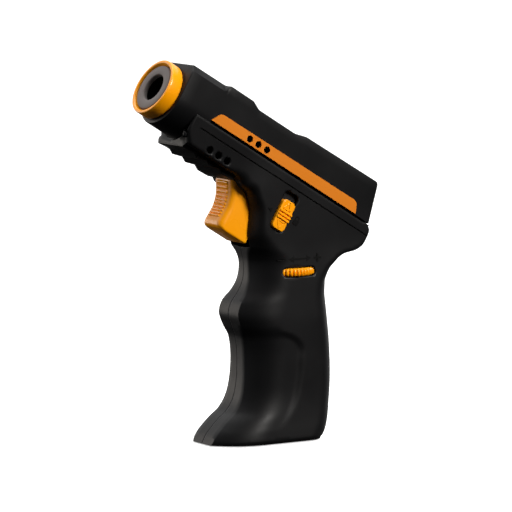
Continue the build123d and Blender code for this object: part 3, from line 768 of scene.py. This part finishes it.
def screw_wells():
    """Cups that the screws of the right shell sit in."""
    for i, (x, z) in enumerate(SCREWS):
        around = circle(x, z, 3.2, 16)
        depth = min(half_width(px, pz, 1) for px, pz in around) - WELL_SUNK - WELL_FLOOR
        profile = ((0.0, SCREW_HOLE), (0.0, WELL_RADIUS), (depth, WELL_RADIUS), (depth, 2.45))
        profile += ((0.75, WELL_BORE), (0.75, SCREW_HOLE))
        place = Matrix.Translation((x, WELL_FLOOR, z)) @ Matrix.Rotation(math.radians(90), 4, "Z")
        well = lathe(f"screw_well_{i + 1}", profile, 32, place)
        shade(well, 40)
        yield well


wells = list(screw_wells())


# ---------------- keel and lip of the frame
def keel():
    """Shallow V under the frame, with a row of saw-tooth ribs."""
    stations = [(LIP, 0.35), (LIP + 0.4, 0.0)]
    for riser in RIB_RISERS:
        stations += [(riser - 1.3, RIB_STEP), (riser - 0.9, 0.85 * RIB_STEP)]
        stations += [(riser + 0.9, -0.85 * RIB_STEP), (riser + 1.3, -RIB_STEP)]
    stations += [(46.0, -0.45), (KEEL_END, -0.3)]
    rows = []
    for s, rise in stations:
        left = [(-KEEL_HALF, -14.5), (-10.4, -15.0), (-10.0, -15.5), (-9.6, -16.4 + rise)]
        around = left + [(0, -16.5 + rise)] + [(-y, h) for y, h in reversed(left)]
        around += [(KEEL_HALF, KEEL_TOP), (-KEEL_HALF, KEEL_TOP)]
        rows.append([(s, y, h) for y, h in around])
    return loft("frame_keel", rows)


def frame_reach(y, low):
    """Distance along a ray from the barrel's axis to just inside the frame's outside."""
    best = 99.0
    for (y0, l0), (y1, l1) in zip(FRAME_SECTION, FRAME_SECTION[1:]):
        cross = y * (l1 - l0) - low * (y1 - y0)
        if abs(cross) < 1e-9:
            continue
        reach = (y0 * (l1 - l0) - l0 * (y1 - y0)) / cross
        if reach > 0:
            best = min(best, reach)
    return best


def lip_row(y, h):
    """Section of the front lip along the ray from the barrel's axis in the direction (y, h)."""
    far = y > 0
    hidden = y * BORE_CLEAR > FAR_LIP_HALF
    reach = frame_reach(abs(y), -h)
    if hidden:
        reach = BORE_CLEAR + 0.2
    elif far:
        reach = min(reach, FAR_LIP_HALF / y)
    low = -h * reach
    below = math.degrees(math.asin(min(-h, 1.0)))
    # The front follows the flank's front edge down, and turns back to the keel's at its foot.
    front = nose_edge(max(-low, FLANK_BOTTOM)) + 0.1
    front += (LIP - 0.1 - front) * smooth_step(low, 12.5, 15.0)
    # The saddle's edge leans back towards its lowest point.
    edge = SADDLE_EDGE + 1.9 * smooth_step(below, 6, 28) + 0.5 * smooth_step(below, 50, 88)
    if far:
        front = LIP_HIDDEN_FRONT if hidden else max(front, LIP - 0.1)
        edge = max(edge, front)
    else:
        front = max(front, edge)
    inner = min(BORE_CLEAR, reach - 0.05)
    # Both corners are rounded, and less so high on the near side.
    soft = min(LIP_SOFT, 0.45 * (reach - inner))
    if not far:
        soft *= 0.15 + 0.85 * smooth_step(below, 55, 80)
    profile = ((edge + soft, inner), (edge + 0.3 * soft, inner + 0.3 * soft))
    profile += ((edge, inner + soft), (front, reach - soft))
    profile += ((front + 0.3 * soft, reach - 0.3 * soft), (front + soft, reach))
    profile += ((LIP_BACK, reach), (LIP_BACK, inner))
    return [(along, radius * y, radius * h) for along, radius in profile]


def front_lip():
    """Front end of the frame, hollowed to the nose's radius; its far end hides behind the nose."""
    rows = []
    for i in range(LIP_STEPS + 1):
        angle = math.radians(LIP_START + LIP_SWEEP * i / LIP_STEPS)
        rows.append(lip_row(math.cos(angle), math.sin(angle)))
    return loft("front_lip", rows)


keel_piece = keel()
bevel(keel_piece, 0.25, 2, 40)
lip_piece = front_lip()
shade(keel_piece, 35)
shade(lip_piece, 35)


# ---------------- trigger
def rib_wave(h):
    """Height of the finger ribs from 0 to 1: crests are closer together lower down."""
    if not CREST_LOW < h < CREST_TOP:
        return 0.0
    t = (CREST_TOP - h) / (CREST_TOP - CREST_LOW)
    phase = CREST_COUNT * ((1 - CREST_CROWDING) * t + CREST_CROWDING * t * t)
    wave = 0.5 - 0.5 * math.cos(2 * math.pi * phase)
    return wave**0.7


def trigger_row(h):
    """Level section of the trigger: ribbed face, round front corners and flat sides."""
    wave = rib_wave(h)
    front = smooth_table(FACE, h) + edge_round(h - TRIGGER_LOW, 1.3)
    half = TRIGGER_HALF - 0.5 * edge_round(h - TRIGGER_LOW, 0.8)
    flat = half - TRIGGER_CORNER
    row = []
    face_steps = 30
    for i in range(face_steps + 1):
        y = -flat + 2 * flat * i / face_steps
        ribbed = 1 - smooth_step(abs(y), 3.9, 4.75 - 0.35 * wave)
        row.append((front - CREST_DEPTH * wave * ribbed, y, h))
    corner = []
    for i in range(1, 9):
        angle = math.radians(90 * i / 8)
        along = front + TRIGGER_CORNER * (1 - math.cos(angle))
        corner.append((along, half - TRIGGER_CORNER * (1 - math.sin(angle)), h))
    row += corner
    row += [(TRIGGER_REAR - 4, half, h), (TRIGGER_REAR, half, h)]
    row += [(TRIGGER_REAR, -half, h), (TRIGGER_REAR - 4, -half, h)]
    return row + [(along, -y, h) for along, y, h in reversed(corner)]


def trigger_body():
    """Trigger with finger ribs, built up from level sections."""
    levels = [*TRIGGER_LOW_LEVELS, *stepped(*TRIGGER_LEVELS)]
    return loft("trigger_body", [trigger_row(h) for h in levels])


trigger_piece = trigger_body()
shade(trigger_piece, 40)
plate_inner, plate_outer = CARRIAGE_PLATE
carriage = [
    prism("trigger_carriage_left", CARRIAGE, -plate_outer, -plate_inner),
    prism("trigger_carriage_right", CARRIAGE, plate_inner, plate_outer),
]
for piece in (trigger_piece, *carriage):
    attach(piece, "trigger")
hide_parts("trigger")


# ---------------- lock slider and its pocket
def lock_pocket():
    """Floor of the slider's pocket, in four strips around the slit that its neck runs in."""
    for i, (s0, s1, h0, h1) in enumerate(POCKET_STRIPS):
        corners = ((s0, h0), (s1, h0), (s1, h1), (s0, h1))
        yield prism(f"pocket_floor_{i + 1}", corners, *POCKET_FLOOR)


def slider_stroke(name, start, end, width, proud):
    """Straight raised stroke on the slider's face."""
    return prism(name, bar(*start, *end, width), SLIDER_FACE - proud, SLIDER_FACE + 0.2)


def slider_pieces():
    """Cap of the slider with its ridges and arrows, and the neck and plate behind it."""
    s0, s1, h0, h1 = SLIDER
    middle = (s0 + s1) / 2
    cap = prism("slider_cap", rounded_box(s0, s1, h0, h1, 1.7, 7), SLIDER_FACE, -12.5)
    bevel(cap, 0.45, 4)
    neck_outline = ((72.9, -20.8), (75.1, -20.8), (75.1, -16.8), (72.9, -16.8))
    neck = prism("slider_neck", neck_outline, -12.6, -9.5)
    bevel(neck, 0.2)
    plate = prism("slider_plate", rounded_box(71.2, 76.8, -24.0, -14.0, 0.8), -10.4, -9.4)
    bevel(plate, 0.2)
    made = [cap, neck, plate]
    for i in range(3):
        h = -17.3 - 1.45 * i
        ridge = slider_stroke(f"slider_ridge_{i + 1}", (s0 + 0.2, h), (s1 + 0.1, h), 1.05, 0.6)
        bevel(ridge, 0.28)
        made.append(ridge)
    for kind, foot, tip in (("up", -16.15, -13.1), ("low", -21.5, -24.4)):
        corners = ((middle - 1.8, foot), (middle + 1.8, foot), (middle, tip))
        for i in range(3):
            name = f"slider_arrow_{kind}_{i + 1}"
            made.append(slider_stroke(name, corners[i], corners[(i + 1) % 3], 0.42, 0.24))
    return made


pocket = list(lock_pocket())
slider = slider_pieces()
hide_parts("lock_slider")
for piece in slider:
    shade(piece, 35)
    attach(piece, "lock_slider")


# ---------------- flow wheel
def wheel():
    """Thumb wheel with a crowned rim and rounded flutes."""
    steps = FLUTES * FLUTE_STEPS
    edge = WHEEL_THICK / 2
    profile = []
    for i in range(CROWN_STEPS + 1):
        across = -1 + 2 * i / CROWN_STEPS
        profile.append((across * edge, CROWN_DROP * abs(across) ** CROWN_POWER))
    points = []
    for step in range(steps):
        angle = 2 * math.pi * step / steps
        flute = (0.5 + 0.5 * math.cos(FLUTES * angle)) ** 2
        row = [(WHEEL_BORE, -edge)]
        for level, crown in profile:
            cut = FLUTE_DEPTH * flute * (1 - crown / 1.4)
            row.append((WHEEL_RADIUS - crown - cut, level))
        row.append((WHEEL_BORE, edge))
        for radius, level in row:
            x = WHEEL_AXIS[0] + radius * math.cos(angle)
            y = WHEEL_AXIS[1] + radius * math.sin(angle)
            points.append((x, y, WHEEL_LOW + edge + level))
    return add_mesh("flow_wheel_fluted", points, skin(steps, CROWN_STEPS + 3, closed=True))


wheel_piece = wheel()
shade(wheel_piece, 50)
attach(wheel_piece, "flow_wheel")
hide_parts("flow_wheel")


# ---------------- barrel cover
def cover_section(s, inset, lean):
    """Right half of the cover's cross-section as (s, y, h), from the middle below to the top."""
    half = COVER_HALF - inset
    top = straight_table(COVER_TOP, s) - inset
    skirt = COVER_LOW + COVER_SKIRT
    cut = COVER_CHAMFER - CHAMFER_LOSS * smooth_step(s, *COVER_STEP)
    nose = s <= NOSE_END
    section = []
    low_steps = 16
    for i in range(low_steps):
        angle = math.radians(-90 + 90 * i / low_steps)
        h = half * math.sin(angle)
        section.append((half * math.cos(angle), min(h, skirt) if nose else COVER_LOW))
    section.append((half, skirt if nose else COVER_LOW + 0.02))
    for share in (0.2, 0.4, 0.6, 0.8):
        section.append((half, skirt + (top - cut - COVER_LOW - COVER_SKIRT) * share))
    for share, bulge in ((0, 0), (0.15, 0.12), (0.5, 0.3), (0.85, 0.12), (1, 0)):
        bulge *= smooth_step(s, 22.0, 25.5)
        section.append((half - cut * share + bulge * 0.7, top - cut * (1 - share) + bulge * 0.7))
    for share in (0.35, 0.7, 1.0):
        section.append(((half - cut) * (1 - share), top))
    span = COVER_PEAK - COVER_LOW
    return [(s + lean * (COVER_PEAK - h) / span, y, h) for y, h in section]


def cover_stations():
    """Stations along the cover as (s, inset, lean of the section)."""
    stations = [(COVER_FRONT, 0.7, 0), (6.28, 0.4, 0), (6.5, 0.15, 0), (6.9, 0.0, 0)]
    straight = (12.0, 18.0, 21.5, 22.5, 23.4, NOSE_END, NOSE_END + 0.01, 24.6, 25.2, 25.7, 26.2)
    straight += (30.0, 36.0, 38.4, 38.9, 39.4, 40.8, 42.2, 42.8, 43.4, 50.0, 58.0, 62.0, 63.2)
    straight += (64.6, 66.0, 67.4, 68.2, 69.0, 80.0, 92.0)
    stations += [(s, 0.0, 0) for s in straight]
    stations += [(101.0, 0.0, REAR_LEAN * 0.5), (108.6, 0.0, REAR_LEAN), (109.2, 0.12, REAR_LEAN)]
    stations += [(109.55, 0.4, REAR_LEAN), (109.7, 0.8, REAR_LEAN)]
    return stations


def cover_shell():
    """Cover with its nose tube, open along the bottom behind the nose."""
    rows = []
    for s, inset, lean in cover_stations():
        half = cover_section(s, inset, lean)
        rows.append(half + [(along, -y, h) for along, y, h in reversed(half[1:-1])])
    bore = []
    for _, y, h in rows[0]:
        angle = math.atan2(h, y)
        bore.append((COVER_FRONT, NOSE_BORE * math.cos(angle), NOSE_BORE * math.sin(angle)))
    rows.insert(0, bore)
    width = len(bore)
    points = [point for row in rows for point in row]
    faces = [tuple(range(len(points) - 1, len(points) - width - 1, -1))]
    for quad in skin(len(rows), width):
        corners = [points[i] for i in quad]
        if not all(s > NOSE_END + 0.005 and h < COVER_LOW + 0.01 for s, _, h in corners):
            faces.append(quad)
    cover = add_mesh("cover_shell", points, faces, BARREL)
    thicken(cover, COVER_WALL)
    return cover


cover_piece = cover_shell()
vent_cutters = []
for vent_s in COVER_VENTS:
    vent = circle(vent_s, COVER_VENT_LEVEL, COVER_VENT_RADIUS)
    vent_cutters.append(prism("vent_cutter", vent, -20.0, 20.0))
drill(cover_piece, vent_cutters)
shade(cover_piece, 28)
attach(cover_piece, "housing")
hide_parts("barrel_cover")


# ---------------- inner walls that close gaps
def seam_tongue():
    """Inner lip that bridges the parting line just behind the surface, so no light passes it."""
    outline = housing_outline(-1)
    count = len(outline)
    points = []
    at_seam = []
    for i, (x, z) in enumerate(outline):
        px, pz = outline[i - 1]
        nx, nz = outline[(i + 1) % count]
        length = math.hypot(nx - px, nz - pz)
        dx = (nz - pz) / length * SEAM_INSET
        dz = (px - nx) / length * SEAM_INSET
        if not inside((x + dx, z + dz), outline):
            dx, dz = -dx, -dz
        points += [(x + dx, -SEAM_REACH, z + dz), (x + dx, SEAM_REACH, z + dz)]
        at_seam.append(rim_limit(x, z) == SEAM)
    faces = []
    for i in range(count):
        j = (i + 1) % count
        if at_seam[i] and at_seam[j]:
            faces.append((2 * i, 2 * i + 1, 2 * j + 1, 2 * j))
    band = add_mesh("seam_tongue", points, faces)
    thicken(band, SEAM_WALL, 0)
    return band


# Lips of the frame that reach up inside the cover, and dark walls close behind the frame's vents,
# each with its outline as (s, h) and the two distances from the middle that it lies between.
INNER_WALLS = (
    ("rail_tongue", ((24.6, -3.4), (112.6, -3.4), (111.8, -0.2), (24.6, -0.2)), 11.5, 12.2),
    ("vent_back", ((26.5, -13.6), (44.0, -13.6), (44.0, -8.0), (26.5, -8.0)), 9.8, 10.4),
)
tongue_pieces = []
for kind, wall_outline, y_near, y_far in INNER_WALLS:
    for side, side_name in ((-1, "left"), (1, "right")):
        name = f"{kind}_{side_name}"
        tongue_pieces.append(prism(name, wall_outline, side * y_near, side * y_far))
tongue_pieces.append(seam_tongue())

# ---------------- muzzle
ring_piece = lathe("muzzle_ring", RING_PROFILE, 160)
face_piece = lathe("burner_face", FACE_PROFILE, 128)
for piece in (ring_piece, face_piece):
    shade(piece, 40)
    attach(piece, "housing")
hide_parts("nozzle_ring")
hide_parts("nozzle_insert")


# ---------------- raised marks
def mark(name, outline):
    """Thin raised mark on the left flank that follows the surface under it."""
    outline = spaced([*outline, outline[0]], MARK_STEP)[:-1]
    base = [(x, -half_width(x, z, -1), z) for x, z in outline]
    top = [(x, y - MARK_PROUD, z) for x, y, z in base]
    foot = [(x, y + MARK_SUNK, z) for x, y, z in base]
    return loft(name, [top, foot], None)


def barrel_mark(name, outline):
    """Raised mark with its outline in the barrel's frame."""
    return mark(name, [world(s, h) for s, h in outline])


def padlock():
    """Generic closed padlock: a plate with a bow above it."""
    plate = barrel_mark("padlock_plate", rounded_box(79.9, 82.5, -19.4, -17.3, 0.3))
    curves = []
    for radius in (1.0, 0.62):
        arc = [math.radians(180 * i / 12) for i in range(13)]
        curve = [(81.2 + radius * math.cos(a), -16.6 + radius * math.sin(a)) for a in arc]
        curves.append([(81.2 + radius, -17.2)] + curve + [(81.2 - radius, -17.2)])
    outer, inner = curves
    return [plate, barrel_mark("padlock_bow", outer + inner[::-1])]


marks = [
    mark("mark_less", bar(2.7, MARK_Z - 0.2, 6.1, MARK_Z - 0.2, 0.8)),
    mark("mark_span", bar(9.4, MARK_Z, 16.9, MARK_Z, 0.7)),
    mark("mark_tip_left", [(7.9, MARK_Z), (10.0, MARK_Z + 1.25), (10.0, MARK_Z - 1.25)]),
    mark("mark_tip_right", [(18.4, MARK_Z), (16.3, MARK_Z + 1.25), (16.3, MARK_Z - 1.25)]),
    mark("mark_more_across", bar(19.9, MARK_Z, 23.3, MARK_Z, 0.8)),
    mark("mark_more_up", bar(21.6, MARK_Z - 1.7, 21.6, MARK_Z + 1.7, 0.8)),
    *padlock(),
    barrel_mark("lock_tick", [(66.2, -19.3), (68.2, -18.4), (68.2, -20.2)]),
]
for piece in (keel_piece, lip_piece, *wells, *pocket, *tongue_pieces, *marks):
    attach(piece, "housing")


# ---------------- materials
def new_material(name, base, roughness, metallic=0.0):
    """Material with one principled shader: the material, its node tree and the shader."""
    material = bpy.data.materials.new(name)
    material.use_nodes = True
    shader = material.node_tree.nodes["Principled BSDF"]
    shader.inputs["Base Color"].default_value = (*base, 1)
    shader.inputs["Roughness"].default_value = roughness
    shader.inputs["Metallic"].default_value = metallic
    return material, material.node_tree, shader


def noise(tree, scale, detail=3.0):
    """Noise in object space."""
    coordinates = tree.nodes.new("ShaderNodeTexCoord")
    texture = tree.nodes.new("ShaderNodeTexNoise")
    texture.inputs["Scale"].default_value = scale
    texture.inputs["Detail"].default_value = detail
    tree.links.new(coordinates.outputs["Object"], texture.inputs["Vector"])
    return texture.outputs["Fac"]


def mapped(tree, value, low, high, from_low=0.3, from_high=0.7):
    """Value stretched from one range to another."""
    node = tree.nodes.new("ShaderNodeMapRange")
    node.inputs["From Min"].default_value = from_low
    node.inputs["From Max"].default_value = from_high
    node.inputs["To Min"].default_value = low
    node.inputs["To Max"].default_value = high
    tree.links.new(value, node.inputs["Value"])
    return node.outputs["Result"]


def add_bump(tree, shader, height, strength, distance):
    """Fine relief in a shader's normal."""
    node = tree.nodes.new("ShaderNodeBump")
    node.inputs["Strength"].default_value = strength
    node.inputs["Distance"].default_value = distance * MM
    tree.links.new(height, node.inputs["Height"])
    tree.links.new(node.outputs["Normal"], shader.inputs["Normal"])


def edge_mask(tree):
    """Bright on worn outer edges, from the mesh's pointiness."""
    geometry = tree.nodes.new("ShaderNodeNewGeometry")
    return mapped(tree, geometry.outputs["Pointiness"], 0.0, 1.0, 0.52, 0.62)


def blend_color(tree, factor, low, high):
    """Colour between two others."""
    node = tree.nodes.new("ShaderNodeMix")
    node.data_type = "RGBA"
    node.inputs["A"].default_value = (*low, 1)
    node.inputs["B"].default_value = (*high, 1)
    tree.links.new(factor, node.inputs["Factor"])
    return node.outputs["Result"]


def plastic(name, base, worn, roughness, grain, grain_depth, sheen=0.5):
    """Moulded plastic: fine grain, slightly uneven gloss and a little wear on its edges."""
    material, tree, shader = new_material(name, base, roughness)
    shader.inputs["Specular IOR Level"].default_value = sheen
    color = blend_color(tree, edge_mask(tree), base, worn)
    tree.links.new(color, shader.inputs["Base Color"])
    gloss = mapped(tree, noise(tree, 60.0), roughness - 0.05, roughness + 0.05)
    tree.links.new(gloss, shader.inputs["Roughness"])
    add_bump(tree, shader, noise(tree, grain, 2.0), 0.35, grain_depth)
    return material


def metal(name, base, roughness, grain):
    """Metal with slightly uneven colour and gloss."""
    material, tree, shader = new_material(name, base, roughness, 1.0)
    dark = tuple(channel * 0.75 for channel in base)
    color = blend_color(tree, mapped(tree, noise(tree, 90.0), 0, 1), dark, base)
    tree.links.new(color, shader.inputs["Base Color"])
    gloss = mapped(tree, noise(tree, 300.0), roughness - 0.08, roughness + 0.1)
    tree.links.new(gloss, shader.inputs["Roughness"])
    add_bump(tree, shader, noise(tree, grain), 0.25, 0.03)
    return material


# Plastics as (name, colour, colour where worn, roughness, grain, grain depth, sheen).
PLASTICS = {
    "housing": ("black_housing", (0.0045, 0.0045, 0.005), (0.009, 0.009, 0.01), 0.46, 2600, 0.02, 0.2),
    "mark": ("black_marks", (0.0022, 0.0022, 0.0024), (0.0035, 0.0035, 0.0035), 0.55, 2600, 0.01, 0.1),
    "cover": ("black_cover", (0.004, 0.004, 0.0045), (0.008, 0.008, 0.009), 0.44, 2600, 0.02, 0.2),
    "strip": ("orange_strip", (0.62, 0.165, 0.004), (0.68, 0.2, 0.01), 0.5, 2200, 0.015, 0.2),
    "bright": ("amber_plastic", (1.0, 0.36, 0.0003), (1.0, 0.4, 0.002), 0.27, 1800, 0.006),
    "ceramic": ("grey_burner_face", (0.15, 0.13, 0.125), (0.2, 0.18, 0.17), 0.8, 1600, 0.12),
    "tubing": ("gas_tubing", (0.7, 0.7, 0.66), (0.75, 0.75, 0.7), 0.4, 900, 0.01),
    "wire": ("red_wire", (0.4, 0.03, 0.02), (0.45, 0.05, 0.03), 0.4, 900, 0.01),
    "inner_plastic": ("inner_plastic", (0.66, 0.65, 0.6), (0.7, 0.7, 0.65), 0.45, 1400, 0.02),
    "tank_plastic": ("tank_plastic", (0.7, 0.72, 0.74), (0.75, 0.77, 0.8), 0.25, 1200, 0.01),
    "seal": ("seal_rubber", (0.02, 0.02, 0.02), (0.03, 0.03, 0.03), 0.7, 1400, 0.02),
}
# Metals as (name, colour, roughness, grain).
METALS = {
    "burnt_steel": ("burnt_steel", (0.012, 0.011, 0.01), 0.6, 1500),
    "steel": ("burner_steel", (0.5, 0.49, 0.47), 0.35, 1500),
    "brass": ("valve_brass", (0.75, 0.55, 0.26), 0.32, 1500),
}
LOOKS = {slot: plastic(*values) for slot, values in PLASTICS.items()}
LOOKS.update({slot: metal(*values) for slot, values in METALS.items()})
CAD_SLOTS = {row["node"]: row["material_slot"] for row in frame["record"]["subparts"]}


def dress(obj, look):
    """Gives an object one material."""
    if obj.data.materials:
        obj.data.materials[0] = LOOKS[look]
    else:
        obj.data.materials.append(LOOKS[look])


for node_name, node_object in frame["nodes"].items():
    dress(node_object, CAD_SLOTS[node_name])

DRESSED = {
    "housing": [left_housing, right_housing, keel_piece, lip_piece, *wells, *pocket, *tongue_pieces],
    "mark": marks,
    "cover": [cover_piece],
    "bright": [ring_piece, trigger_piece, *carriage, wheel_piece, *slider],
    "ceramic": [face_piece],
}
for look, pieces in DRESSED.items():
    for piece in pieces:
        dress(piece, look)

# ---------------- floor, light and camera
FLOOR_SIZE = 12
FLOOR_LEVEL = -0.0005
FLOOR_GLOW = 0.6
CENTRE = (0.0, 0.0, 0.08)
AZIMUTH = math.radians(32.55)
ELEVATION = math.radians(7.04)
DISTANCE = 1.8866
TARGET = Vector((0.00096, 0.0, 0.07596))
LENS = 321.96


def floor():
    """Pale floor with a glow that reaches the camera, but not the torch."""
    bpy.ops.mesh.primitive_plane_add(size=FLOOR_SIZE, location=(0, 0, FLOOR_LEVEL))
    plane = bpy.context.object
    plane.name = "floor"
    material, tree, shader = new_material("pale_floor", (0.9, 0.9, 0.9), 0.6)
    shader.inputs["Emission Color"].default_value = (1, 1, 1, 1)
    shader.inputs["Emission Strength"].default_value = FLOOR_GLOW
    tree.links.new(mapped(tree, noise(tree, 8.0), 0.55, 0.65), shader.inputs["Roughness"])
    plane.data.materials.append(material)
    plane.visible_diffuse = False
    plane.visible_glossy = False


def studio_world():
    """White surroundings that are dim on the torch's left and below it."""
    studio = bpy.data.worlds.new("studio")
    studio.use_nodes = True
    sky = studio.node_tree
    direction = sky.nodes.new("ShaderNodeTexCoord")
    split = sky.nodes.new("ShaderNodeSeparateXYZ")
    sky.links.new(direction.outputs["Generated"], split.inputs["Vector"])
    right = mapped(sky, split.outputs["Y"], 0.04, 1.0, -0.2, 0.25)
    above = mapped(sky, split.outputs["Z"], 0.015, 1.0, -0.35, -0.1)
    strength = sky.nodes.new("ShaderNodeMath")
    strength.operation = "MULTIPLY"
    sky.links.new(right, strength.inputs[0])
    sky.links.new(above, strength.inputs[1])
    background = sky.nodes["Background"]
    sky.links.new(strength.outputs["Value"], background.inputs["Strength"])
    background.inputs["Color"].default_value = (1, 1, 1, 1)
    bpy.context.scene.world = studio


def area_light(name, place, size, power, color):
    """Square lamp that points at the torch."""
    light = bpy.data.lights.new(name, "AREA")
    light.shape = "RECTANGLE"
    light.size = size
    light.size_y = size
    light.energy = power
    light.color = color
    lamp = bpy.data.objects.new(name, light)
    bpy.context.scene.collection.objects.link(lamp)
    lamp.location = place
    lamp.rotation_euler = (Vector(CENTRE) - Vector(place)).to_track_quat("-Z", "Y").to_euler()


def add_camera():
    """Camera at the front left, slightly above the torch."""
    data = bpy.data.cameras.new("camera")
    data.lens = LENS
    data.sensor_width = 36.0
    data.clip_start = 0.05
    camera = bpy.data.objects.new("camera", data)
    bpy.context.scene.collection.objects.link(camera)
    across = -math.sin(AZIMUTH) * math.cos(ELEVATION)
    ahead = -math.cos(AZIMUTH) * math.cos(ELEVATION)
    towards = Vector((across, ahead, math.sin(ELEVATION)))
    camera.location = TARGET + DISTANCE * towards
    camera.rotation_euler = (-towards).to_track_quat("-Z", "Y").to_euler()
    bpy.context.scene.camera = camera


floor()
studio_world()
area_light("key", (0.42, -1.15, 0.85), 0.5, 25.0, (1.0, 0.97, 0.93))
area_light("top", (0.0, 0.3, 1.6), 1.6, 18.0, (1.0, 1.0, 1.0))
area_light("behind_left", (-0.75, 1.15, 0.2), 0.8, 5.0, (1.0, 0.9, 0.8))
add_camera()
bpy.context.scene.view_settings.view_transform = "Standard"
